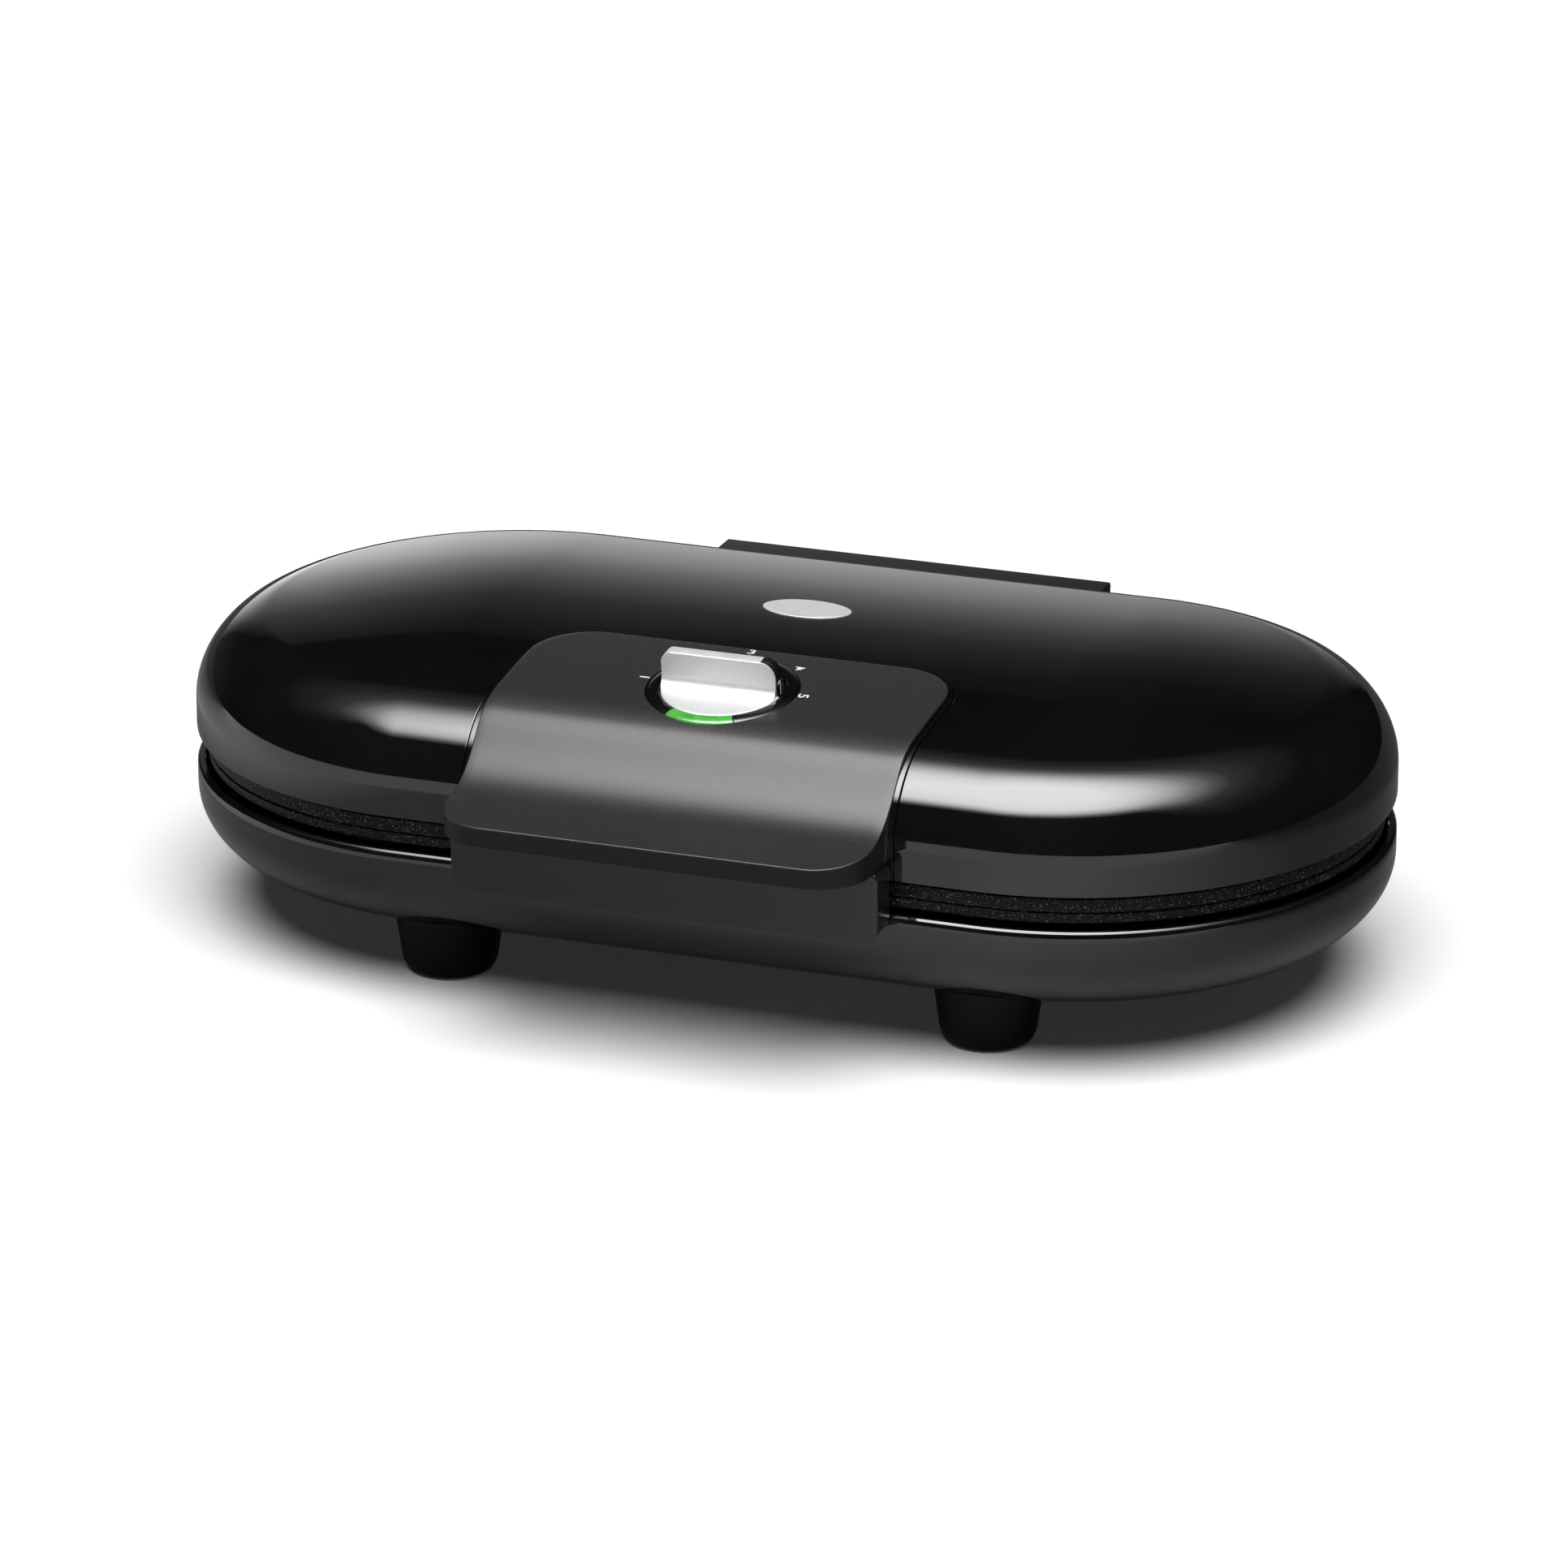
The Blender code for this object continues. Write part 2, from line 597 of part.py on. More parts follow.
def make_mould_plate(name, side, thickness, owner):
    """A cast plate with ring moulds, hollow behind and with screw bosses on its back."""
    ends = arc((STRAIGHT_HALF, 0), 1, -90, 90, END_STEPS)
    half = [(STRAIGHT_HALF + (x - STRAIGHT_HALF) * (END_RADIUS - PLATE_INSET), y * (HALF_WIDTH - PLATE_INSET))
            for x, y in ends]
    outline = half + [(-x, -y) for x, y in half]
    low, high = sorted((parting(side, PLATE_GAP), parting(side, PLATE_GAP + thickness)))
    plate = prism(name, outline, low, high)
    back = ring_profile(side, RING_HALF + CAST_WALL, RING_DEPTH + CAST_WALL, 1.2 * MM, 4)
    boolean(plate, mould_rings(f"{name}_bowls", side, back, MOULD_BACK_STEPS), "UNION")
    bosses = new_collection(f"{name}_bosses")
    for place, x in PLATE_SCREW_XS.items():
        boss = rod(f"{name}_boss_{place}", 4.6 * MM, (x, 0, parting(side, 2 * MM)),
                   (x, 0, parting(side, SHIELD_FACE - GAP)), sides=12)
        bosses.objects.link(as_cutter(boss))
    boolean(plate, bosses, "UNION")
    trough = ring_profile(side, RING_HALF, RING_DEPTH, -2 * MM, 6)
    boolean(plate, mould_rings(f"{name}_troughs", side, trough, MOULD_STEPS))
    for place, x in PLATE_SCREW_XS.items():
        bore = rod(f"{name}_bore_{place}", 2.4 * MM, (x, 0, parting(side, 14 * MM)),
                   (x, 0, parting(side, 30 * MM)), sides=12)
        boolean(plate, as_cutter(bore))
    finish(plate, NON_STICK, owner)


def make_heating_element(name, side, owner):
    """A sheathed element under the moulds: one loop with its cold ends turned away through the shield."""
    depth = parting(side, PLATE_GAP + RING_DEPTH + CAST_WALL + GAP + ELEMENT_RADIUS)
    end = parting(side, SHIELD_FACE + 4 * MM)
    turn = 6 * MM
    right = [(TERMINAL_X, TERMINAL_Y - turn)]
    right += [(x, y) for x, y in arc((TERMINAL_X + turn, ELEMENT_BEND + turn), turn, 180, 270, 4)]
    right += arc((ELEMENT_REACH, 0), ELEMENT_BEND, 90, -90, 12)
    loop = [(x, y, depth) for x, y in right]
    terminal = [(TERMINAL_X, TERMINAL_Y, end), (TERMINAL_X, TERMINAL_Y, depth + side * turn)]
    terminal.append((TERMINAL_X, TERMINAL_Y - 2 * MM, depth + side * 2 * MM))
    path = terminal + loop
    path += [(-x, y, z) for x, y, z in path[::-1]]
    finish(tube(name, path, ELEMENT_RADIUS), STEEL, owner)


def make_heat_shield(name, side, owner):
    """A pressed steel tray behind the plate that keeps the heat off the casing."""
    profile = [(9 * MM, 7 * MM), (12 * MM, 20 * MM), (20 * MM, SHIELD_FACE + SHIELD_SHEET),
               (END_RADIUS, SHIELD_FACE + SHIELD_SHEET)]
    shield = oblong(name, [(inset, parting(side, height)) for inset, height in profile])
    solidify(shield, SHIELD_SHEET)
    ports = new_collection(f"{name}_ports")
    low, high = parting(side, SHIELD_FACE - 3 * MM), parting(side, SHIELD_FACE + 3 * MM)
    for index, x in enumerate((-TERMINAL_X, TERMINAL_X)):
        ports.objects.link(as_cutter(rod(f"{name}_port_{index}", 4.5 * MM, (x, TERMINAL_Y, low),
                                         (x, TERMINAL_Y, high), sides=12)))
    for place, x in PLATE_SCREW_XS.items():
        ports.objects.link(as_cutter(rod(f"{name}_hole_{place}", 2.4 * MM, (x, 0, low), (x, 0, high), 12)))
    boolean(shield, ports)
    finish(shield, SHEET_STEEL, owner)


def make_plate_screws(level, side, owner):
    """Screws from behind the shield into the bosses of the plate."""
    head = SHIELD_FACE + SHIELD_SHEET + GAP
    for place, x in PLATE_SCREW_XS.items():
        profile = [(0, head + 2.4 * MM), (2.6 * MM, head + 2.4 * MM), (4 * MM, head + 1.4 * MM),
                   (4 * MM, head), (2 * MM, head), (2 * MM, head - 12 * MM), (0, head - 12 * MM)]
        screw = turned(f"{level}_plate_screw_{place}", profile, steps=12)
        turn = Matrix() if side > 0 else Matrix.Rotation(math.pi, 4, "X")
        screw.matrix_basis = Matrix.Translation((x, 0, PARTING_Z)) @ turn
        finish(screw, STEEL, owner)


# ---- electrical pieces inside ----


def make_terminal_block():
    outline = rounded_box(40 * MM, 66 * MM, 62 * MM, 78 * MM, 1 * MM, 1 * MM, steps=2)
    finish(prism("terminal_block", outline, 23.4 * MM, 31 * MM), WHITE_PLASTIC, ON_BASE)
    finish(rod("thermal_fuse", 2 * MM, (-62 * MM, 70 * MM, 27 * MM), (-50 * MM, 70 * MM, 27 * MM), 12),
           WHITE_PLASTIC, ON_BASE)
    lead = [(TERMINAL_X + ELEMENT_RADIUS + GAP, TERMINAL_Y, 30 * MM),
            (24 * MM, TERMINAL_Y - 1 * MM, 28.5 * MM),
            (32 * MM, TERMINAL_Y - 2 * MM, 27 * MM), (39.6 * MM, TERMINAL_Y - 2 * MM, 27 * MM)]
    finish(tube("lower_element_wire", lead, 1.2 * MM), WIRE_RED, ON_BASE)
    link = [(-TERMINAL_X - ELEMENT_RADIUS - GAP, TERMINAL_Y, 30 * MM),
            (-24 * MM, TERMINAL_Y - 1 * MM, 28.5 * MM), (-36 * MM, TERMINAL_Y - 2 * MM, 27 * MM),
            (-49.6 * MM, TERMINAL_Y - 2 * MM, 27 * MM)]
    finish(tube("fuse_wire", link, 1.2 * MM), WIRE_RED, ON_BASE)


def make_thermostat():
    """The capillary thermostat behind the knob, with the lead to the upper element."""
    can = turned("thermostat_body", [(3.5 * MM, -10.5 * MM), (11 * MM, -10.5 * MM), (11 * MM, -18.5 * MM),
                                     (3.5 * MM, -18.5 * MM)], closed=True)
    finish(can, STEEL, ON_LID_AT_KNOB)
    lead = [(TERMINAL_X, TERMINAL_Y - 1 * MM, 93.9 * MM), (TERMINAL_X, 60 * MM, 95.5 * MM),
            (TERMINAL_X, 20 * MM, 97 * MM), (TERMINAL_X, -20 * MM, 97 * MM), (8 * MM, -40 * MM, 97 * MM),
            (4 * MM, -50 * MM, 97 * MM)]
    finish(tube("upper_element_wire", lead, 1.2 * MM), WIRE_RED, ON_LID)


# ---- knob and its dish ----


def lens_sector(name, profile, angle, steps):
    """A piece of a ring round the knob's axis, centred on its front."""
    bm = bmesh.new()
    section = bm.faces.new([bm.verts.new((radius, 0, height)) for radius, height in profile])
    bmesh.ops.rotate(bm, verts=bm.verts, cent=(0, 0, 0),
                     matrix=Matrix.Rotation(-math.pi / 2 - angle / 2, 3, "Z"))
    bmesh.ops.spin(bm, geom=[section] + section.edges[:] + section.verts[:], cent=(0, 0, 0), axis=(0, 0, 1),
                   angle=angle, steps=steps, use_duplicate=False)
    bmesh.ops.recalc_face_normals(bm, faces=bm.faces)
    return from_bmesh(name, bm)


def make_dial_ring():
    profile = [(25.9 * MM, 0.1 * MM), (DISH_RADIUS, -0.3 * MM), (DISH_RADIUS, -DISH_DEPTH - 1.5 * MM),
               (3.5 * MM, -DISH_DEPTH - 1.5 * MM), (3.5 * MM, -DISH_DEPTH), (DISH_INNER, -DISH_DEPTH),
               (DISH_INNER, -0.5 * MM)]
    ring = turned("dial_ring", profile, steps=32, closed=True)
    slot = [(DISH_INNER - 1 * MM, 2 * MM), (DISH_RADIUS + 2 * MM, 2 * MM), (DISH_RADIUS + 2 * MM, -4 * MM),
            (DISH_INNER - 1 * MM, -4 * MM)]
    cutter = lens_sector("lens_slot", slot, LENS_ANGLE + math.radians(1.6), 8)
    boolean(ring, as_cutter(cutter, AT_KNOB))
    finish(ring, GLOSS_BLACK, ON_LID_AT_KNOB)


def make_indicator():
    profile = [(LENS_INNER, -0.4 * MM), (25.9 * MM, 0.1 * MM), (DISH_RADIUS, -0.3 * MM),
               (DISH_RADIUS, -3.7 * MM), (LENS_INNER, -3.7 * MM)]
    finish(lens_sector("indicator_lens", profile, LENS_ANGLE, 8), GREEN_LENS, ON_LID_AT_KNOB)
    lamp = turned("indicator_lamp", [(0, -9.4 * MM), (1.6 * MM, -9.8 * MM), (2.4 * MM, -11 * MM),
                                     (2.4 * MM, -17 * MM), (0, -17 * MM)], steps=12)
    lamp.matrix_basis = Matrix.Translation((0, -16 * MM, 0))
    finish(lamp, GREEN_LENS, ON_LID_AT_KNOB)


def fin_outline(x_low, x_high, low):
    """Front view (x, z) of the grip across the knob, with a round corner at its left end."""
    corner = 6.5 * MM
    return ([(x_low, low), (x_high, low), (x_high, FIN_HEIGHT)]
            + arc((x_low + corner, FIN_HEIGHT - corner), corner, 90, 180, 5))


def make_knob():
    """The turning knob: a black core with its pointer end, under a metal cap with the grip fin."""
    core = turned("knob_core", [(0, -0.3 * MM), (KNOB_RADIUS - 0.4 * MM, -0.3 * MM), (KNOB_RADIUS, -0.7 * MM),
                                (KNOB_RADIUS, -6.6 * MM), (0, -6.6 * MM)], steps=32)
    pointer = arc((15 * MM, 6.7 * MM), 5.6 * MM, 0, 90, 5) + [(CAP_END_X + GAP, 12.3 * MM),
                                                             (CAP_END_X + GAP, -2 * MM), (20.6 * MM, -2 * MM)]
    pointer = [(x, z) for x, z in pointer if x > CAP_END_X]
    end = prism("pointer_end", pointer, -FIN_HALF, FIN_HALF, "Y")
    boolean(core, as_cutter(end, AT_KNOB), "UNION")
    socket = rod("shaft_socket", 3.3 * MM, (0, 0, -12 * MM), (0, 0, -2 * MM), 12)
    boolean(core, as_cutter(socket, AT_KNOB))
    finish(core, DARK_PLASTIC, ON_KNOB)

    cap = turned("knob_cap", [(0, KNOB_TOP), (KNOB_RADIUS - 0.6 * MM, KNOB_TOP),
                              (KNOB_RADIUS, KNOB_TOP - 0.5 * MM), (KNOB_RADIUS, 0), (0, 0)], steps=32)
    fin = prism("cap_fin", fin_outline(-KNOB_RADIUS + 1 * MM, 25 * MM, 0.3 * MM), -FIN_HALF, FIN_HALF, "Y")
    boolean(cap, as_cutter(fin, AT_KNOB), "UNION")
    missing = [(CAP_END_X, -30 * MM), (40 * MM, -30 * MM), (40 * MM, 30 * MM), (CAP_END_X, 30 * MM)]
    boolean(cap, as_cutter(prism("cap_end", missing, -5 * MM, 20 * MM), AT_KNOB))
    finish(cap, SATIN_METAL, ON_KNOB)

    shaft = rod("thermostat_shaft", 3 * MM, (0, 0, -17 * MM), (0, 0, -2.4 * MM), 12)
    finish(shaft, STEEL, ON_KNOB)


# ---- feet ----


def make_feet():
    """Four tapered feet, shaped to the curve of the base, each with a rubber pad let into its sole."""
    hull = oblong("base_volume", [(END_RADIUS, 70 * MM), (-GAP, 70 * MM)]
                  + [(inset - GAP, height - GAP) for inset, height in base_profile()])
    as_cutter(hull)
    profile = [(0, 30 * MM), (FOOT_TOP_RADIUS, 30 * MM), (FOOT_TOP_RADIUS, 22 * MM),
               (FOOT_LOW_RADIUS, 4.5 * MM), (FOOT_LOW_RADIUS - 1.4 * MM, 1.8 * MM),
               (FOOT_LOW_RADIUS - 4 * MM, 0.7 * MM), (PAD_RADIUS + GAP, 0.7 * MM),
               (PAD_RADIUS + GAP, 2.4 * MM), (0, 2.4 * MM)]
    pad_profile = [(0, 2.1 * MM), (PAD_RADIUS, 2.1 * MM), (PAD_RADIUS, 0), (0, 0)]
    for y_side, row in ((-1, "front"), (1, "rear")):
        for x_side, column in ((-1, "left"), (1, "right")):
            place = Matrix.Translation((x_side * FOOT_X, y_side * FOOT_Y, 0))
            foot = turned(f"foot_{row}_{column}", profile, steps=20)
            foot.matrix_basis = place
            boolean(foot, hull)
            finish(foot, DARK_PLASTIC, ON_BASE)
            pad = turned(f"foot_pad_{row}_{column}", pad_profile, steps=16)
            pad.matrix_basis = place
            finish(pad, RUBBER, ON_BASE)


def main():
    make_base_shell()
    make_lid_shell(handle_prism("lid_notch", SEAM_GAP))
    hole = knob_hole("knob_hole")
    make_handle_body(handle_prism("handle_core", 0), hole)
    make_handle_panel(hole)
    make_base_handle()
    make_badge()
    make_lid_hinge_block()
    make_base_hinge_block()
    make_cord_gland()
    for level, side, thickness, owner in (("lower", -1, 3.4 * MM, ON_BASE), ("upper", 1, 5 * MM, ON_LID)):
        make_mould_plate(f"{level}_plate", side, thickness, owner)
        make_heating_element(f"{level}_heating_element", side, owner)
        make_heat_shield(f"{level}_heat_shield", side, owner)
        make_plate_screws(level, side, owner)
    make_terminal_block()
    make_thermostat()
    make_dial_ring()
    make_indicator()
    make_knob()
    make_feet()


main()
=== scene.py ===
"""Looks of the donut maker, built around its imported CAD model. Metres, +X right, +Y to the hinge, +Z up."""

import json
import math

import bmesh
import bpy
import numpy as np
from mathutils import Matrix, Vector
from mathutils.geometry import interpolate_bezier


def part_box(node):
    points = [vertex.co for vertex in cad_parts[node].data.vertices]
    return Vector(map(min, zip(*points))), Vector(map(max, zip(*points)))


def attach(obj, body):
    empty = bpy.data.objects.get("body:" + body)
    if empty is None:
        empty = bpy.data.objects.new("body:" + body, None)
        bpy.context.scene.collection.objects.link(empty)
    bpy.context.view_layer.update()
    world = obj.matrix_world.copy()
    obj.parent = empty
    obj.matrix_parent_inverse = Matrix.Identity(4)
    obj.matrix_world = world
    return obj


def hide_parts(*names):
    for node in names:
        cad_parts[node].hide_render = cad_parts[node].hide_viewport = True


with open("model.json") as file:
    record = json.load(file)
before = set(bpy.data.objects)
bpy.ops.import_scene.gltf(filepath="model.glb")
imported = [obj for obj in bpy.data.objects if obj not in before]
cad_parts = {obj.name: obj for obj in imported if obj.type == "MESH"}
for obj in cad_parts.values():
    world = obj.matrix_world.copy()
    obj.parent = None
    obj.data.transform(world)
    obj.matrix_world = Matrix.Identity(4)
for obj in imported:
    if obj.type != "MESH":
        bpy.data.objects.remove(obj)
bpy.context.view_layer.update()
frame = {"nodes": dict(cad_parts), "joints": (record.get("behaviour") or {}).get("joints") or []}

MM = 0.001
GAP = 0.3 * MM

# ---- sizes read from the frame ----

BASE_LOW, BASE_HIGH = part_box("base_shell")
LID_LOW, LID_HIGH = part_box("lid_shell")
MIDDLE_Y = (BASE_LOW.y + BASE_HIGH.y) / 2
HALF_LENGTH = BASE_HIGH.x
HALF_WIDTH = BASE_HIGH.y - MIDDLE_Y
FRONT_Y = MIDDLE_Y - HALF_WIDTH
REAR_Y = MIDDLE_Y + HALF_WIDTH
STRAIGHT_HALF = 105 * MM
END_RADIUS = HALF_LENGTH - STRAIGHT_HALF
WIDEN = HALF_WIDTH / END_RADIUS  # the ends are slightly deeper than a true half circle
BASE_RIM_Z = BASE_HIGH.z
BASE_BOTTOM_Z = BASE_LOW.z
LID_RIM_Z = LID_LOW.z
PARTING_Z = (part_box("lower_plate")[1].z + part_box("upper_plate")[0].z) / 2
JOINTS = {joint["name"]: joint for joint in frame["joints"]}
HINGE = Vector(JOINTS["lid_hinge"]["pos_m"])
KNOB_AXIS = Vector(JOINTS["knob_turn"]["axis"])
KNOB_PLACE = Matrix.Translation(JOINTS["knob_turn"]["pos_m"]) @ (
    Matrix.Rotation(math.atan2(-KNOB_AXIS.y, KNOB_AXIS.z), 4, "X"))

# ---- casing curves, as the CAD draws them ----

WALL = 3 * MM
LID_BEND_Z = 78 * MM
LID_BEND_WIDTH = 26 * MM
LID_BEND_RISE = 25 * MM
CROWN_RISE = 10.5 * MM
BASE_BEND_Z = 47 * MM
BASE_BEND_WIDTH = 36 * MM
RIM_ROUND = 1.1 * MM


# ---- mesh helpers ----


def mm(*points):
    """Points given in millimetres."""
    return [tuple(value * MM for value in point) for point in points]


def new_object(name, bm):
    mesh = bpy.data.meshes.new(name)
    bm.to_mesh(mesh)
    bm.free()
    obj = bpy.data.objects.new(name, mesh)
    bpy.context.scene.collection.objects.link(obj)
    return obj


def solid(name, bm):
    bmesh.ops.recalc_face_normals(bm, faces=bm.faces)
    return new_object(name, bm)


def band(bm, here, after, count=None):
    """Faces between two loops of points, or along the first few sides of them."""
    for i in range(count or len(here)):
        j = (i + 1) % len(here)
        bm.faces.new((here[i], here[j], after[j], after[i]))


def smooth(obj, degrees=35):
    obj.data.shade_smooth()
    obj.data.set_sharp_from_angle(angle=math.radians(degrees))
    return obj


def apply_modifiers(obj):
    """Swaps the object's mesh for the one that its modifiers make."""
    depsgraph = bpy.context.evaluated_depsgraph_get()
    mesh = bpy.data.meshes.new_from_object(obj.evaluated_get(depsgraph))
    mesh.validate()
    obj.modifiers.clear()
    obj.data = mesh
    return obj


def boolean(obj, tool, operation="DIFFERENCE", keep_tool=False):
    modifier = obj.modifiers.new("cut", "BOOLEAN")
    modifier.operation = operation
    modifier.solver = "EXACT"
    modifier.object = tool
    apply_modifiers(obj)
    if not keep_tool:
        bpy.data.objects.remove(tool)
    return obj


def weld(obj):
    """Joins the points that a boolean leaves a hair apart."""
    bm = bmesh.new()
    bm.from_mesh(obj.data)
    bmesh.ops.remove_doubles(bm, verts=bm.verts, dist=0.002 * MM)
    bm.to_mesh(obj.data)
    bm.free()
    return obj


def prism(name, outline, low, high, axis="Z"):
    """A flat outline pushed from low to high along Z; or drawn as (y, z) along X, or (x, z) along Y."""
    turn = {
        "Z": lambda a, b, c: (a, b, c),
        "X": lambda a, b, c: (c, a, b),
        "Y": lambda a, b, c: (a, c, b),
    }[axis]
    bm = bmesh.new()
    bottom = [bm.verts.new(turn(a, b, low)) for a, b in outline]
    top = [bm.verts.new(turn(a, b, high)) for a, b in outline]
    bm.faces.new(bottom)
    bm.faces.new(top)
    band(bm, bottom, top)
    return solid(name, bm)


def soften(obj, radius, segments=3, degrees=30):
    """Rounds every sharp edge of a mesh."""
    bm = bmesh.new()
    bm.from_mesh(obj.data)
    limit = math.radians(degrees)
    sharp = [e for e in bm.edges if len(e.link_faces) == 2 and e.calc_face_angle() > limit]
    bmesh.ops.bevel(bm, geom=sharp, offset=radius, segments=segments, profile=0.5, affect="EDGES",
                    clamp_overlap=True)
    bm.to_mesh(obj.data)
    bm.free()
    return obj


def arc(cx, cy, radius, start, end, steps):
    """Points on a circle, from one angle in degrees to another."""
    angles = np.radians(np.linspace(start, end, steps + 1))
    return [(cx + radius * math.cos(a), cy + radius * math.sin(a)) for a in angles]


def turned(name, profile, steps=96, place=None):
    """A solid turned from a profile of (radius, height) that ends on the axis, or is a closed ring."""
    closed = profile[0][0] > 1e-7
    bm = bmesh.new()
    rings = []
    for k in range(steps):
        angle = 2 * math.pi * k / steps
        rings.append([bm.verts.new((r * math.cos(angle), r * math.sin(angle), z)) for r, z in profile])
    count = len(profile) if closed else len(profile) - 1
    for here, after in zip(rings, rings[1:] + rings[:1]):
        band(bm, here, after, count)
    bmesh.ops.remove_doubles(bm, verts=bm.verts, dist=1e-7)
    obj = solid(name, bm)
    if place is not None:
        obj.data.transform(place)
    return obj


def fillet(corners, steps=5):
    """An outline through (x, y, radius) corners, each rounded to its own radius."""
    points = []
    for i, (x, y, radius) in enumerate(corners):
        before, after = corners[i - 1], corners[(i + 1) % len(corners)]
        here = Vector((x, y))
        a = (Vector(before[:2]) - here).normalized()
        b = (Vector(after[:2]) - here).normalized()
        if radius <= 0:
            points.append((x, y))
            continue
        half = a.angle(b) / 2
        reach = radius / math.tan(half)
        centre = here + (a + b).normalized() * radius / math.sin(half)
        first, last = (here + a * reach - centre) / radius, (here + b * reach - centre) / radius
        for k in range(steps + 1):
            points.append(tuple(centre + first.slerp(last, k / steps) * radius))
    return points


def open_fillet(corners, steps=5):
    """As fillet, for a line whose two ends aren't joined."""
    return fillet([(x, y, 0 if i in (0, len(corners) - 1) else r) for i, (x, y, r) in enumerate(corners)],
                  steps)


def filled(corners, steps):
    """The profile of a solid turned piece from the corners of its outer line."""
    return [(0, corners[0][1])] + open_fillet(corners, steps) + [(0, corners[-1][1])]


# ---- the oblong casings ----


def crown(inset):
    return CROWN_RISE * (1 - (1 - min(inset, END_RADIUS) / END_RADIUS) ** 2)


def lid_height(inset):
    """Height of the lid's outside at a distance in from its outline."""
    inset = min(inset, 2 * END_RADIUS - inset)
    share = max(0.0, 1 - inset / LID_BEND_WIDTH)
    return LID_BEND_Z + LID_BEND_RISE * math.sqrt(1 - share * share) + crown(inset)


def lid_height_at(y):
    return lid_height((HALF_WIDTH - abs(y - MIDDLE_Y)) / WIDEN)


def lid_curve():
    """Outer profile of the lid from rim to middle."""
    insets = [LID_BEND_WIDTH * (1 - math.cos(angle)) for angle in np.linspace(0, math.pi / 2, 22)]
    insets += list(np.linspace(LID_BEND_WIDTH, END_RADIUS, 22)[1:])
    wall = [(0.0, LID_RIM_Z + RIM_ROUND), (0.0, LID_BEND_Z - 4 * MM)]
    return wall + [(inset, lid_height(inset)) for inset in insets]


def base_curve():
    """Outer profile of the base, from the chamfer on its rim to the middle."""
    points = [(0.95 * MM, BASE_RIM_Z - 0.05 * MM), (0.3 * MM, BASE_RIM_Z - 0.6 * MM),
              (0.0, BASE_RIM_Z - RIM_ROUND), (0.0, (BASE_RIM_Z + BASE_BEND_Z) / 2)]
    for angle in np.linspace(0, math.pi / 2, 22):
        inset = BASE_BEND_WIDTH * (1 - math.cos(angle))
        points.append((inset, BASE_BEND_Z - (BASE_BEND_Z - BASE_BOTTOM_Z) * math.sin(angle)))
    for inset in np.linspace(BASE_BEND_WIDTH, END_RADIUS, 8)[1:]:
        points.append((inset, BASE_BOTTOM_Z))
    return points


def shell_section(outer, rim, wall_start=0):
    """Closes an outer profile into a shell: middle of the outside, rim, middle of the inside."""
    side = 1 if outer[-1][1] > outer[0][1] else -1
    wall = outer[wall_start:]
    inner = []
    for i, (inset, z) in enumerate(wall):
        before, after = wall[max(i - 1, 0)], wall[min(i + 1, len(wall) - 1)]
        along = Vector((after[0] - before[0], after[1] - before[1])).normalized()
        inner.append((min(inset + side * along.y * WALL, END_RADIUS), z - side * along.x * WALL))
    inner[-1] = (END_RADIUS, inner[-1][1])
    return outer[::-1] + rim + inner


def lid_section():
    rim = [(WALL / 2 * (1 - math.cos(a)), LID_RIM_Z + RIM_ROUND * (1 - math.sin(a) ** 0.7))
           for a in np.linspace(0, math.pi, 9)[1:-1]]
    return shell_section(lid_curve(), rim)


def base_section():
    rim = [(WALL - 1.3 * MM, BASE_RIM_Z), (WALL - 0.4 * MM, BASE_RIM_Z), (WALL, BASE_RIM_Z - 0.4 * MM)]
    return shell_section(base_curve(), rim, 2)


def oblong(name, section, end_steps=72, straight_steps=14):
    """Sweeps a section of (inset, height), which starts and ends in the middle, round the oblong outline."""
    stations = []
    for side in (1, -1):
        start = -math.pi / 2 if side > 0 else math.pi / 2
        for angle in np.linspace(start, start + math.pi, end_steps + 1)[:-1]:
            stations.append((side * STRAIGHT_HALF, math.cos(angle), math.sin(angle)))
        for share in np.linspace(0, 1, straight_steps + 1)[:-1]:
            stations.append((side * STRAIGHT_HALF * (1 - 2 * share), 0.0, float(side)))
    bm = bmesh.new()
    rings = []
    for x, c, s in stations:
        rings.append([
            bm.verts.new((x + (END_RADIUS - inset) * c, MIDDLE_Y + (END_RADIUS - inset) * s * WIDEN, z))
            for inset, z in section])
    for k, here in enumerate(rings):
        after = rings[(k + 1) % len(rings)]
        for i in range(len(section) - 1):
            bm.faces.new((here[i], after[i], after[i + 1], here[i + 1]))
    bmesh.ops.remove_doubles(bm, verts=bm.verts, dist=1e-6)
    bmesh.ops.dissolve_degenerate(bm, edges=bm.edges, dist=1e-6)
    return solid(name, bm)


def lid_normal(point):
    """The true outward normal of the lid under a point, and how far the point lies from the surface."""
    x, y, z = point
    across = (y - MIDDLE_Y) / WIDEN
    beyond = max(abs(x) - STRAIGHT_HALF, 0.0)
    reach = math.hypot(beyond, across)
    c = math.copysign(beyond, x) / reach if reach > 1e-9 else 0.0
    s = across / reach if reach > 1e-9 else 1.0
    inset = END_RADIUS - reach
    if z < LID_BEND_Z:
        return Vector((c * WIDEN, s, 0)).normalized(), abs(inset)
    step = 0.02 * MM
    inset = min(max(inset, 0.0), END_RADIUS)
    if inset < step:
        slope = 1e3
    else:
        slope = (lid_height(min(inset + step, END_RADIUS)) - lid_height(inset - step)) / (2 * step)
    normal = Vector((c * WIDEN * slope, s * slope, WIDEN)).normalized()
    return normal, abs(z - lid_height(inset)) * normal.z


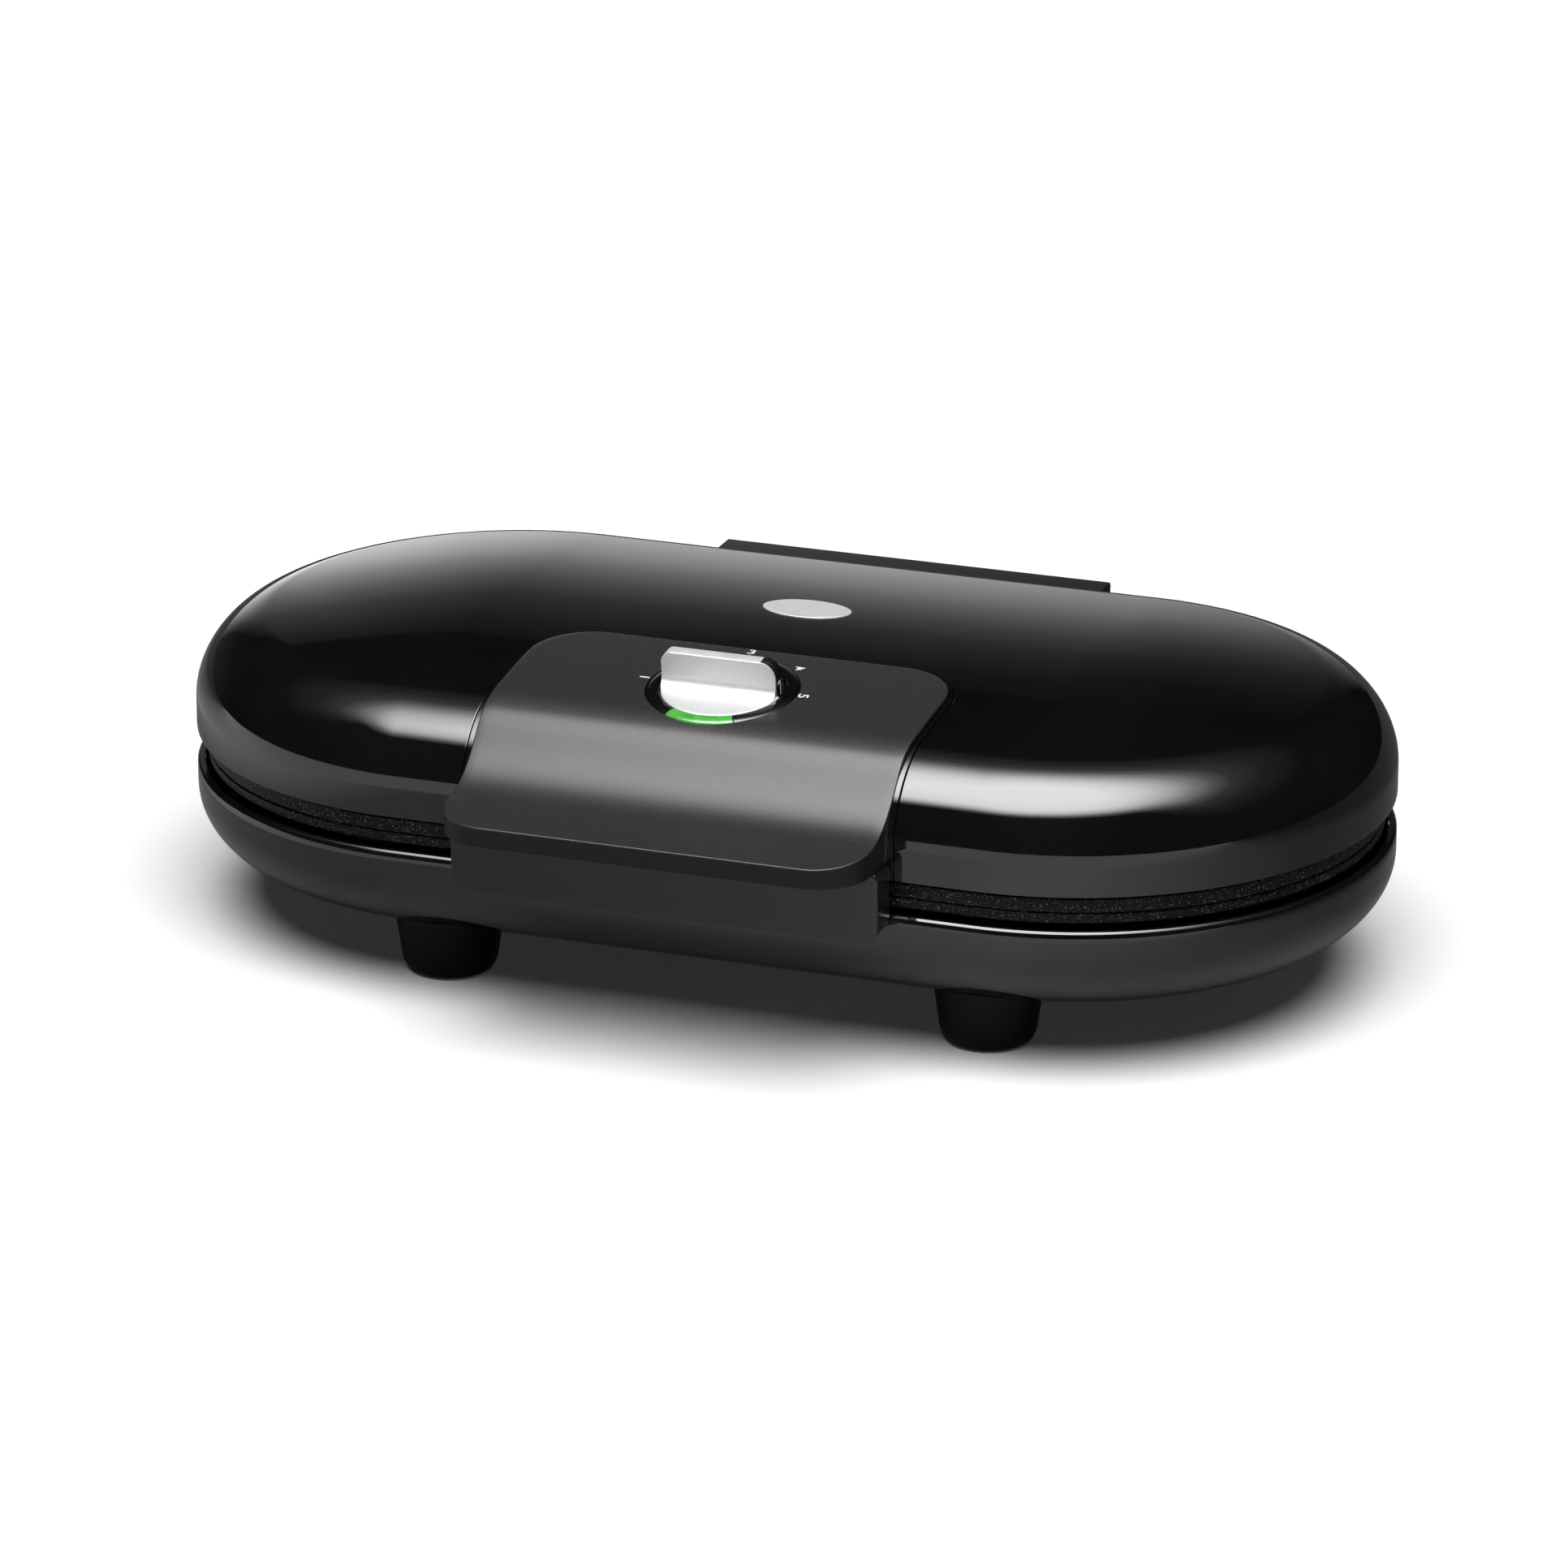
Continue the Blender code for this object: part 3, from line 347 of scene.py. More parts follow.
def true_normals(obj, normal_at, tolerance=0.12 * MM):
    """Gives the faces on a known surface that surface's own normals, so that cuts don't dent its shine."""
    mesh = obj.data
    normals = [Vector()] * len(mesh.loops)
    for polygon in mesh.polygons:
        normal, away = normal_at(polygon.center)
        if away > tolerance or normal.dot(polygon.normal) < 0.95:
            continue
        for index in polygon.loop_indices:
            normals[index] = normal_at(mesh.vertices[mesh.loops[index].vertex_index].co)[0]
    mesh.normals_split_custom_set(normals)
    return obj


# ---- a slab between two height functions, over an outline with rounded corners ----


class Plan:
    """An outline of width 2 * half from low to high, with one radius for each pair of corners."""

    def __init__(self, half, low, high, low_corner, high_corner, rows, columns=48, corner_rows=10):
        self.half, self.low, self.high = half, low, high
        self.low_corner, self.high_corner = low_corner, high_corner
        quarter = [i / corner_rows * math.pi / 2 for i in range(corner_rows + 1)]
        self.rows = [("low", a) for a in quarter] + [("middle", v) for v in rows]
        self.rows += [("high", a) for a in quarter[::-1]]
        self.shares = [2 * i / columns - 1 for i in range(columns + 1)]

    def row(self, index, inset):
        """Place of a row along the outline, and half the width there, drawn in by the inset."""
        kind, value = self.rows[index]
        if kind == "middle":
            return value, self.half - inset
        if kind == "low":
            radius = self.low_corner - inset
            return self.low + inset + radius * (1 - math.cos(value)), (
                self.half - self.low_corner + radius * math.sin(value))
        radius = self.high_corner - inset
        return self.high - inset - radius * (1 - math.cos(value)), (
            self.half - self.high_corner + radius * math.sin(value))

    def edge(self, inset):
        """The closed outline, drawn in by the inset."""
        last = len(self.rows) - 1
        low_v, low_half = self.row(0, inset)
        high_v, high_half = self.row(last, inset)
        sides = [self.row(j, inset) for j in range(1, last)]
        points = [(share * low_half, low_v) for share in self.shares] + [(half, v) for v, half in sides]
        points += [(share * high_half, high_v) for share in self.shares[::-1]]
        return points + [(-half, v) for v, half in sides[::-1]]


def slab(name, plan, top, bottom, top_round, bottom_round, place=lambda x, v, h: (x, v, h), steps=5):
    """A solid over a plan between two height functions, with rounded rims."""
    bm = bmesh.new()

    def surface(height, rounding, direction):
        rings = []
        for angle in np.linspace(0, math.pi / 2, steps + 1):
            inset = rounding * (1 - math.cos(angle))
            drop = rounding * (1 - math.sin(angle))
            rings.append([bm.verts.new(place(x, v, height(x, v) - direction * drop))
                          for x, v in plan.edge(inset)])
        for outer, inner in zip(rings, rings[1:]):
            band(bm, outer, inner)
        ring = rings[-1]
        columns, last = len(plan.shares), len(plan.rows) - 1
        grid = [ring[:columns]]
        for j in range(1, last):
            v, half = plan.row(j, rounding)
            left = ring[-j]
            right = ring[columns - 1 + j]
            middle = [bm.verts.new(place(share * half, v, height(share * half, v)))
                      for share in plan.shares[1:-1]]
            grid.append([left] + middle + [right])
        grid.append(ring[columns - 1 + last:2 * columns - 1 + last][::-1])
        for lower, upper in zip(grid, grid[1:]):
            for i in range(columns - 1):
                bm.faces.new((lower[i], lower[i + 1], upper[i + 1], upper[i]))
        return rings[0]

    upper_edge = surface(top, top_round, 1)
    band(bm, upper_edge, surface(bottom, bottom_round, -1))
    return solid(name, bm)


# ---- materials ----


def node_material(name, colour, roughness, metallic=0.0):
    made = bpy.data.materials.new(name)
    made.use_nodes = True
    shader = made.node_tree.nodes["Principled BSDF"]
    shader.inputs["Base Color"].default_value = (*colour, 1)
    shader.inputs["Roughness"].default_value = roughness
    shader.inputs["Metallic"].default_value = metallic
    shader.inputs["IOR"].default_value = 1.5
    return made, shader


def add_node(made, kind, **values):
    node = made.node_tree.nodes.new(kind)
    for key, value in values.items():
        if key in node.inputs:
            node.inputs[key].default_value = value
        else:
            setattr(node, key, value)
    return node


def link(made, output, socket):
    made.node_tree.links.new(output, socket)


def object_coordinates(made):
    return add_node(made, "ShaderNodeTexCoord").outputs["Object"]


def noise(made, scale, detail=2.0, roughness=0.5):
    node = add_node(made, "ShaderNodeTexNoise", Scale=scale, Detail=detail, Roughness=roughness)
    link(made, object_coordinates(made), node.inputs["Vector"])
    return node.outputs["Fac"]


def spread(made, value, low, high, from_low=0.3, from_high=0.7):
    """Maps a value, by default the middle of a noise, onto a range, and clamps it there."""
    node = add_node(made, "ShaderNodeMapRange")
    for name, level in zip(("From Min", "From Max", "To Min", "To Max"), (from_low, from_high, low, high)):
        node.inputs[name].default_value = level
    link(made, value, node.inputs["Value"])
    return node.outputs["Result"]


def blend_colours(made, factor, first, second):
    node = add_node(made, "ShaderNodeMix", data_type="RGBA")
    node.inputs["A"].default_value = (*first, 1)
    node.inputs["B"].default_value = (*second, 1)
    link(made, factor, node.inputs["Factor"])
    return node.outputs["Result"]


def vector_value(made, operation, vector, other=None):
    """The length of a vector, or its dot product with another."""
    node = add_node(made, "ShaderNodeVectorMath", operation=operation)
    link(made, vector, node.inputs[0])
    if other:
        node.inputs[1].default_value = other
    return node.outputs["Value"]


def multiply(made, first, second):
    node = add_node(made, "ShaderNodeMath", operation="MULTIPLY")
    link(made, first, node.inputs[0])
    link(made, second, node.inputs[1])
    return node.outputs["Value"]


def ramp(made, value, stops):
    """A grey level that follows a value from 0 to 1 through (value, level) stops."""
    node = add_node(made, "ShaderNodeValToRGB")
    elements = node.color_ramp.elements
    while len(elements) < len(stops):
        elements.new(0.5)
    for element, (place, level) in zip(elements, stops):
        element.position = place
        element.color = (level, level, level, 1)
    link(made, value, node.inputs["Fac"])
    return node.outputs["Color"]


def split_axes(made, coordinates):
    node = add_node(made, "ShaderNodeSeparateXYZ")
    link(made, coordinates, node.inputs["Vector"])
    return node.outputs


def bump(made, shader, height, strength, distance):
    node = add_node(made, "ShaderNodeBump", Strength=strength, Distance=distance)
    link(made, height, node.inputs["Height"])
    link(made, node.outputs["Normal"], shader.inputs["Normal"])


def tinted(made, shader, value, dark, light, *limits):
    """A base colour that a noise moves between two tints."""
    tint = blend_colours(made, spread(made, value, 0, 1, *limits), dark, light)
    link(made, tint, shader.inputs["Base Color"])
    return tint


def roughened(made, shader, value, low, high, *limits):
    link(made, spread(made, value, low, high, *limits), shader.inputs["Roughness"])


def gloss_black(name="gloss_black_lacquer", rough_low=0.03, rough_high=0.06):
    """Lacquered casing: a deep black with the faintest ripple of moulded gloss."""
    made, shader = node_material(name, (0.004, 0.004, 0.0045), rough_high)
    smudge = noise(made, 14, 4, 0.6)
    roughened(made, shader, smudge, rough_low, rough_high, 0.0, 1.0)
    tinted(made, shader, smudge, (0.003, 0.003, 0.0035), (0.006, 0.006, 0.0065))
    bump(made, shader, noise(made, 120, 1), 0.05, 0.05 * MM)
    return made


def matte_black(name, dark, light, rough_low, rough_high, grain_strength, specular):
    """Spark-eroded matte plastic with a fine even grain."""
    made, shader = node_material(name, light, rough_high)
    shader.inputs["Specular IOR Level"].default_value = specular
    grain = noise(made, 1500, 2, 0.6)
    tinted(made, shader, grain, dark, light)
    roughened(made, shader, grain, rough_low, rough_high)
    bump(made, shader, grain, grain_strength, 0.03 * MM)
    return made


def non_stick():
    """Sprayed non-stick coating on a casting: dark, slightly rough, with tiny bright specks."""
    made, shader = node_material("non_stick_coating", (0.005, 0.005, 0.005), 0.5)
    shader.inputs["Specular IOR Level"].default_value = 0.13
    specks = noise(made, 1900, 1, 0.4)
    tinted(made, shader, specks, (0.0025, 0.0025, 0.003), (0.18, 0.18, 0.18), 0.64, 0.74)
    roughened(made, shader, noise(made, 60, 4), 0.38, 0.55)
    bump(made, shader, noise(made, 1100, 3, 0.65), 0.35, 0.08 * MM)
    return made


def satin_silver():
    """Silver paint with fine flakes."""
    made, shader = node_material("satin_silver", (0.72, 0.72, 0.73), 0.36, 0.3)
    flakes = noise(made, 4200, 2, 0.6)
    tinted(made, shader, flakes, (0.5, 0.5, 0.51), (0.74, 0.74, 0.75))
    roughened(made, shader, noise(made, 300, 3), 0.32, 0.42)
    bump(made, shader, flakes, 0.12, 0.02 * MM)
    return made


def plain_metal(name, low, high, roughness):
    """Bare rolled or drawn steel, with a faint cloudiness."""
    made, shader = node_material(name, high, roughness, 1.0)
    tinted(made, shader, noise(made, 90, 5, 0.65), low, high)
    roughened(made, shader, noise(made, 700, 2), roughness - 0.06, roughness + 0.08)
    return made


def plain_plastic(name, dark, light, roughness):
    """Moulded plastic, rubber or wire insulation, with a faint mottle."""
    made, shader = node_material(name, light, roughness)
    mottle = noise(made, 500, 3)
    tinted(made, shader, mottle, dark, light)
    roughened(made, shader, mottle, roughness - 0.05, roughness + 0.07)
    bump(made, shader, noise(made, 1800, 2), 0.15, 0.03 * MM)
    return made


def green_lens():
    """Translucent green plastic lit from below."""
    made, shader = node_material("green_lens", (0.12, 0.6, 0.1), 0.12)
    shader.inputs["Transmission Weight"].default_value = 0.35
    shader.inputs["Emission Strength"].default_value = 0.12
    tint = tinted(made, shader, noise(made, 400, 2), (0.07, 0.42, 0.05), (0.13, 0.58, 0.1))
    link(made, tint, shader.inputs["Emission Color"])
    return made


def white_print():
    """Printed white ink."""
    made, shader = node_material("white_ink", (0.8, 0.8, 0.8), 0.5)
    tinted(made, shader, noise(made, 2500, 2), (0.7, 0.7, 0.7), (0.9, 0.9, 0.9))
    return made


GLOSS = gloss_black()
BEZEL = gloss_black("gloss_black_bezel", 0.1, 0.15)
PANEL = matte_black("matte_panel", (0.02, 0.02, 0.021), (0.03, 0.03, 0.031), 0.27, 0.29, 0.25, 0.24)
# painted shade: a darker copy of the panel's matte black, with less shine, for the faces that turn sideways
# or down
PANEL_SHADED_SIDES = matte_black("matte_panel_painted_shade", (0.006, 0.006, 0.0065), (0.01, 0.01, 0.0105),
                         0.4, 0.5, 0.2, 0.12)
BLOCK = matte_black("matte_block", (0.004, 0.004, 0.0045), (0.007, 0.007, 0.0075), 0.55, 0.6, 0.15, 0.15)
SATIN = matte_black("satin_grip", (0.007, 0.007, 0.0075), (0.01, 0.01, 0.0105), 0.2, 0.26, 0.08, 0.36)
FOOT = matte_black("foot_plastic", (0.002, 0.002, 0.002), (0.003, 0.003, 0.003), 0.4, 0.5, 0.1, 0.12)
COATING = non_stick()
SILVER = satin_silver()
STEEL = plain_metal("plain_steel", (0.36, 0.36, 0.37), (0.5, 0.5, 0.51), 0.32)
SHEET = plain_metal("sheet_steel", (0.5, 0.5, 0.51), (0.64, 0.64, 0.65), 0.3)
RUBBER = plain_plastic("black_rubber", (0.012, 0.012, 0.012), (0.022, 0.022, 0.022), 0.75)
INSULATOR = plain_plastic("insulator", (0.66, 0.64, 0.58), (0.8, 0.78, 0.72), 0.55)
WIRE = plain_plastic("wire_red", (0.26, 0.02, 0.015), (0.4, 0.035, 0.025), 0.45)
LENS = green_lens()
INK = white_print()


def piece(obj, finish, body, *nodes):
    """Gives a piece its material and body, and hides the CAD nodes it stands for."""
    obj.data.materials.clear()
    obj.data.materials.append(finish)
    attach(obj, body)
    if nodes:
        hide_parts(*nodes)
    return obj


# ---- casings ----

PANEL_LOW, PANEL_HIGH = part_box("handle_panel")
PANEL_HALF = PANEL_HIGH.x
LIP_Y = PANEL_LOW.y
PANEL_TOP_Y = PANEL_HIGH.y
LIP_CORNER = 18 * MM
PANEL_CORNER = 22 * MM
SEAM = 1.8 * MM
SEAM_GAP = 0.4 * MM
PANEL_RISE = 1.8 * MM
ABOVE_LID = 140 * MM


def handle_outline(grow):
    """Plan outline of the handle body, running out past the front of the lid."""
    edge, back = PANEL_HALF + SEAM + grow, PANEL_TOP_Y + SEAM + grow
    rear = PANEL_CORNER + SEAM + grow
    right = [(edge, FRONT_Y - 3 * MM)] + arc(edge - rear, back - rear, rear, 0, 90, 14)
    return right + [(-x, y) for x, y in right[::-1]]


def knob_hole():
    radius = (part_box("dial_ring")[1].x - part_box("dial_ring")[0].x) / 2 + GAP
    return turned("knob_hole", [(0, 10 * MM), (radius, 10 * MM), (radius, -20 * MM), (0, -20 * MM)],
                  96, KNOB_PLACE)


def make_lid():
    cover = oblong("lid_cover", lid_section())
    boolean(cover, prism("notch", handle_outline(SEAM_GAP), PARTING_Z, ABOVE_LID))
    soften(cover, 0.4 * MM, 2, 50)
    smooth(cover)
    true_normals(cover, lid_normal)
    piece(cover, GLOSS, "lid", "lid_shell")

    body = oblong("handle_body_cover", lid_section())
    boolean(body, prism("body_plan", handle_outline(0), PARTING_Z, ABOVE_LID), "INTERSECT")
    boolean(body, knob_hole())
    soften(body, 0.25 * MM, 2, 50)
    smooth(body)
    true_normals(body, lid_normal)
    piece(body, GLOSS, "lid", "lid_handle_body")


def make_base():
    cover = oblong("base_cover", base_section())
    piece(smooth(cover), GLOSS, "base", "base_shell")


# ---- grip ----

SWEEP_START_Y = MIDDLE_Y - 96 * MM
SWEEP_END = (MIDDLE_Y - 130 * MM, 84 * MM)
LIP_TOP_Z = 81.6 * MM
LIP_BOTTOM_Z = PANEL_LOW.z


def sweep_curve():
    """The concave sweep from the lid's shoulder out into the lip, as (y, z)."""
    start = Vector((SWEEP_START_Y, lid_height_at(SWEEP_START_Y) + PANEL_RISE))
    points = interpolate_bezier(start, start - Vector((8, 4.2)) * MM,
                                Vector((MIDDLE_Y - 111.5 * MM, 84.6 * MM)), Vector(SWEEP_END), 60)
    return [(LIP_Y, LIP_TOP_Z)] + [tuple(p) for p in points[::-1]]


SWEEP = np.array(sweep_curve())


def panel_top(_, y):
    if y >= SWEEP_START_Y:
        return lid_height_at(y) + PANEL_RISE
    return float(np.interp(y, SWEEP[:, 0], SWEEP[:, 1]))


def panel_bottom(_, y):
    if y < FRONT_Y - SEAM_GAP:
        return LIP_BOTTOM_Z
    return lid_height_at(max(y, FRONT_Y)) + SEAM_GAP


def make_panel():
    first, last = LIP_Y + LIP_CORNER, PANEL_TOP_Y - PANEL_CORNER
    wall = FRONT_Y - SEAM_GAP
    rows = sorted(set(np.linspace(first, last, 64)[1:-1]) | {wall - 0.02 * MM, wall + 0.02 * MM})
    plan = Plan(PANEL_HALF, LIP_Y, PANEL_TOP_Y, LIP_CORNER, PANEL_CORNER, rows)
    panel = slab("grip_panel", plan, panel_top, panel_bottom, 0.45 * MM, 0.2 * MM)
    boolean(panel, knob_hole())
    piece(smooth(panel), PANEL, "lid", "handle_panel")
    # the panel's faces that turn sideways or down, below the lip's top, take the painted-shade copy
    panel.data.materials.append(PANEL_SHADED_SIDES)
    for polygon in panel.data.polygons:
        polygon.material_index = 1 if polygon.normal.z < 0.1 and polygon.center.z < LIP_TOP_Z else 0


def make_front_grip():
    low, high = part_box("base_handle")
    back = FRONT_Y - 0.5 * MM
    rows = list(np.linspace(low.z + 6 * MM, high.z - 3 * MM, 8)[1:-1])
    plan = Plan(high.x, low.z, high.z, 6 * MM, 3 * MM, rows, corner_rows=8)
    grip = slab("front_grip", plan, lambda x, v: -low.y, lambda x, v: -back, 0.9 * MM, 0.3 * MM,
                place=lambda x, v, h: (x, -h, v))
    piece(smooth(grip), SATIN, "base", "base_handle")


# ---- knob ----

KNOB_RADIUS = 21.2 * MM
CAP_TOP = 0.9 * MM
FIN_HALF = 2.5 * MM
FIN_HEIGHT = 13.2 * MM
FIN_FOOT = 4.5 * MM  # radius of the sweep between the cap and its fin
FIN_START = -KNOB_RADIUS + 0.1 * MM
FIN_END = 20.2 * MM
FIN_CORNERS = (4.2 * MM, 6 * MM)
SLOT_START = 14.8 * MM  # from here to its end the fin is cut back, and the core's pointer end shows
POINTER_START = 15 * MM
POINTER_END = 20.9 * MM
POINTER_CORNERS = (0.2 * MM, 5.5 * MM)
CORE_TOP = -0.15 * MM
CORE_FOOT = -6.6 * MM
ABOVE_ALL = 20 * MM


def fin_section():
    """Section (y, z) across the fin with its swept foot and rounded top."""
    foot = arc(-FIN_HALF - FIN_FOOT, CAP_TOP + FIN_FOOT, FIN_FOOT, 270, 360, 8)
    top = arc(-FIN_HALF + 0.5 * MM, FIN_HEIGHT - 0.5 * MM, 0.5 * MM, 180, 90, 4)
    left = [(-FIN_HALF - FIN_FOOT, 0.2 * MM)] + foot + top
    return left + [(-y, z) for y, z in left[::-1]]


def fin_face(x_low, x_high, left_corner, right_corner):
    """Front outline (x, z) of the fin."""
    return fillet([(x_low, -1 * MM, 0), (x_high, -1 * MM, 0), (x_high, FIN_HEIGHT + 0.01 * MM, right_corner),
                   (x_low, FIN_HEIGHT + 0.01 * MM, left_corner)], 10)


def make_knob():
    inner = KNOB_RADIUS - 3 * MM
    corners = [(inner, CAP_TOP, 0), (KNOB_RADIUS, CAP_TOP, 0.5 * MM), (KNOB_RADIUS, 0, 0)]
    cap = turned("cap", filled(corners, 4), 128)
    fin = prism("fin", fin_section(), -30 * MM, 30 * MM, "X")
    trim = KNOB_RADIUS - 0.05 * MM
    boolean(fin, turned("trim", [(0, ABOVE_ALL), (trim, ABOVE_ALL), (trim, 0), (0, 0)], 128), "INTERSECT")
    outline = fin_face(FIN_START, FIN_END, *FIN_CORNERS)
    boolean(fin, prism("face", outline, -12 * MM, 12 * MM, "Y"), "INTERSECT")
    boolean(cap, fin, "UNION")
    cap.name = "knob_cap_silver"
    beyond = KNOB_RADIUS + 9 * MM
    slot = [(SLOT_START, -1 * MM), (beyond, -1 * MM), (beyond, ABOVE_ALL), (SLOT_START, ABOVE_ALL)]
    boolean(cap, prism("slot", slot, -FIN_HALF + 0.7 * MM, FIN_HALF + 10 * MM, "Y"))
    weld(cap)
    cap.data.transform(KNOB_PLACE)
    piece(smooth(cap, 30), SILVER, "knob", "knob_cap")

    corners = [(inner, CORE_TOP, 0), (KNOB_RADIUS, CORE_TOP, 0.3 * MM),
               (KNOB_RADIUS, CORE_FOOT, 0.3 * MM), (inner, CORE_FOOT, 0)]
    core = turned("knob_skirt", filled(corners, 4), 128)
    outline = fin_face(POINTER_START, POINTER_END, *POINTER_CORNERS)
    end = prism("pointer_end", outline, -FIN_HALF + 0.9 * MM, FIN_HALF, "Y")
    soften(end, 0.25 * MM, 2)
    boolean(core, end, "UNION")
    weld(core)
    core.data.transform(KNOB_PLACE)
    piece(smooth(core, 30), FOOT, "knob", "knob_core")

    upright = mm((-0.1, 0.8), (0.55, 0.8), (0.55, 5.6), (-0.1, 5.6))
    tick = mm((-2.1, 5.4), (0.1, 5.9), (0.1, 6.5), (-2.1, 6.0))
    bm = bmesh.new()
    for outline in (upright, tick):
        bm.faces.new([bm.verts.new((POINTER_END + 0.07 * MM, y, z)) for y, z in outline])
    mark = new_object("pointer_line", bm)
    thick = mark.modifiers.new("ink", "SOLIDIFY")
    thick.thickness = 0.06 * MM
    apply_modifiers(mark)
    mark.data.transform(KNOB_PLACE)
    piece(mark, INK, "knob")


BEZEL_OUTER = 26.3 * MM
BEZEL_INNER = 21.7 * MM
BEZEL_CREST = 22.6 * MM
BEZEL_FOOT_Z = -0.15 * MM
BEZEL_RISE = 1.35 * MM
LENS_DEPTH = -3.7 * MM


def bezel_slope():
    """Top of the bezel's section, from its inner edge over the crest and down the convex slope."""
    points = [(BEZEL_INNER, BEZEL_RISE - 0.5 * MM), (BEZEL_INNER + 0.25 * MM, BEZEL_RISE - 0.2 * MM)]
    for angle in np.linspace(0, math.pi / 2, 12):
        points.append((BEZEL_CREST + (BEZEL_OUTER - BEZEL_CREST) * math.sin(angle),
                       BEZEL_FOOT_Z + BEZEL_RISE * math.cos(angle)))
    return points


def make_dial():
    inside = [(BEZEL_OUTER, -9 * MM), (4 * MM, -9 * MM), (4 * MM, -7.5 * MM), (BEZEL_INNER, -7.5 * MM)]
    ring = turned("dial_dish", inside + bezel_slope(), 128)
    boolean(ring, sector("slot", mm((21, 3), (29, 3), (29, -4), (21, -4)), math.radians(57.4), 24))
    ring.data.transform(KNOB_PLACE)
    piece(smooth(ring), BEZEL, "lid", "dial_ring")

    lens_profile = [(BEZEL_OUTER, LENS_DEPTH), (BEZEL_INNER, LENS_DEPTH)] + bezel_slope()
    lens = sector("window_lens", lens_profile, math.radians(56), 48)
    soften(lens, 0.15 * MM, 2, 60)
    lens.data.transform(KNOB_PLACE)
    piece(smooth(lens, 40), LENS, "lid", "indicator_lens")


def sector(name, section, angle, steps):
    """A closed section (radius, height) turned through an angle centred on the front of the knob's axis."""
    bm = bmesh.new()
    rings = []
    for k in range(steps + 1):
        turn = -math.pi / 2 - angle / 2 + angle * k / steps
        rings.append([bm.verts.new((r * math.cos(turn), r * math.sin(turn), z)) for r, z in section])
    for here, after in zip(rings, rings[1:]):
        band(bm, here, after)
    bm.faces.new(rings[0])
    bm.faces.new(rings[-1])
    return solid(name, bm)


NUMBER_SIZE = 5.5 * MM
NUMBER_RADIUS = 28.5 * MM
NUMBER_STRETCH = 1.067  # the ring of numbers is a little longer from front to back
NUMBER_SHIFT = 1.1 * MM  # and lies a little behind the knob's axis, with the top of it to the left
NUMBER_WIDTH = 1.25
NUMBER_HEIGHT = 0.95
NUMBER_LIFT = 0.05 * MM
NUMBER_FOOT = 0.01 * MM


def make_numbers():
    """The numbers 1 to 5 printed round the dial, with their tops outwards."""
    for number, degrees in zip("12345", (180, 135, 90, 45, 0)):
        curve = bpy.data.curves.new(f"number_{number}", "FONT")
        curve.body = number
        curve.size = NUMBER_SIZE
        curve.align_x = "CENTER"
        curve.align_y = "CENTER"
        curve.extrude = 0.03 * MM
        curve.offset = 0.04 * MM
        text = bpy.data.objects.new(f"dial_number_{number}", curve)
        bpy.context.scene.collection.objects.link(text)
        turn = math.radians(degrees)
        across = NUMBER_RADIUS * math.cos(turn) - NUMBER_SHIFT * math.sin(turn)
        along = NUMBER_STRETCH * NUMBER_RADIUS * math.sin(turn) + NUMBER_SHIFT
        place = KNOB_PLACE @ Matrix.Translation((across, along, 0))
        place = place @ Matrix.Rotation(turn - math.pi / 2, 4, "Z")
        place = place @ Matrix.Diagonal((NUMBER_WIDTH, NUMBER_HEIGHT, 1, 1))
        bpy.context.view_layer.update()
        depsgraph = bpy.context.evaluated_depsgraph_get()
        bm = bmesh.new()
        bm.from_mesh(bpy.data.meshes.new_from_object(text.evaluated_get(depsgraph)))
        bpy.data.objects.remove(text)
        bmesh.ops.remove_doubles(bm, verts=bm.verts, dist=1e-7)
        lifts = [NUMBER_LIFT if vertex.co.z > 0 else NUMBER_FOOT for vertex in bm.verts]
        bm.transform(place)
        for vertex, lift in zip(bm.verts, lifts):
            vertex.co.z = panel_top(vertex.co.x, vertex.co.y) + lift
        piece(new_object(f"dial_number_{number}", bm), INK, "lid")


def make_badge():
    low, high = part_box("badge")
    centre = (low + high) / 2
    half_x, half_y = (high.x - low.x) / 2, (high.y - low.y) / 2
    profile = open_fillet([(0, 1.0, 0), (0.955, 0.86, 0.03), (1.0, 0.4, 0.02), (1.0, -0.4, 0)], 4)
    badge = turned("oval_badge", profile + [(0, -0.4)], 128)
    for vertex in badge.data.vertices:
        x, y = centre.x + vertex.co.x * half_x, centre.y + vertex.co.y * half_y
        vertex.co = (x, y, lid_height_at(y) + vertex.co.z * 0.55 * MM)
    piece(smooth(badge), SILVER, "lid", "badge")


# ---- rear ----


SIDEWAYS = Matrix.Rotation(math.pi / 2, 4, "Y")
BLOCK_FOOT = 8 * MM  # the blocks keep this far above and below the hinge line
LEDGE_DROP = 13.5 * MM
WEB_FRONT = 6 * MM
WEB_REAR = 5.5 * MM
WEB_SINK = 2 * MM
WEB_INSET = 0.7 * MM
LID_KNUCKLE = 42 * MM
BASE_KNUCKLE = (43 * MM, 70 * MM)
BLOCK_LEAN = 0.946  # the lid's block stands a little off the bend of the lid towards its top


def make_lid_block():
    low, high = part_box("lid_hinge_block")
    foot = HINGE.z + BLOCK_FOOT
    outline = [(REAR_Y + GAP, foot)]
    for z in np.linspace(LID_BEND_Z, high.z, 10):
        share = (z - LID_BEND_Z) / LID_BEND_RISE
        inset = BLOCK_LEAN * LID_BEND_WIDTH * (1 - math.sqrt(1 - share * share))
        outline.append((REAR_Y + GAP - inset, z))
    outline += [(high.y, high.z), (high.y, foot)]
    block = prism("rear_block", outline, low.x, high.x, "X")
    soften(block, 0.7 * MM, 3, 40)
    add_web(block, HINGE.z, foot + WEB_SINK, WEB_REAR, -LID_KNUCKLE, LID_KNUCKLE)
    boolean(block, barrel("lid_barrel", -LID_KNUCKLE, LID_KNUCKLE), "UNION")
    weld(block)
    piece(smooth(block), BLOCK, "lid", "lid_hinge_block")


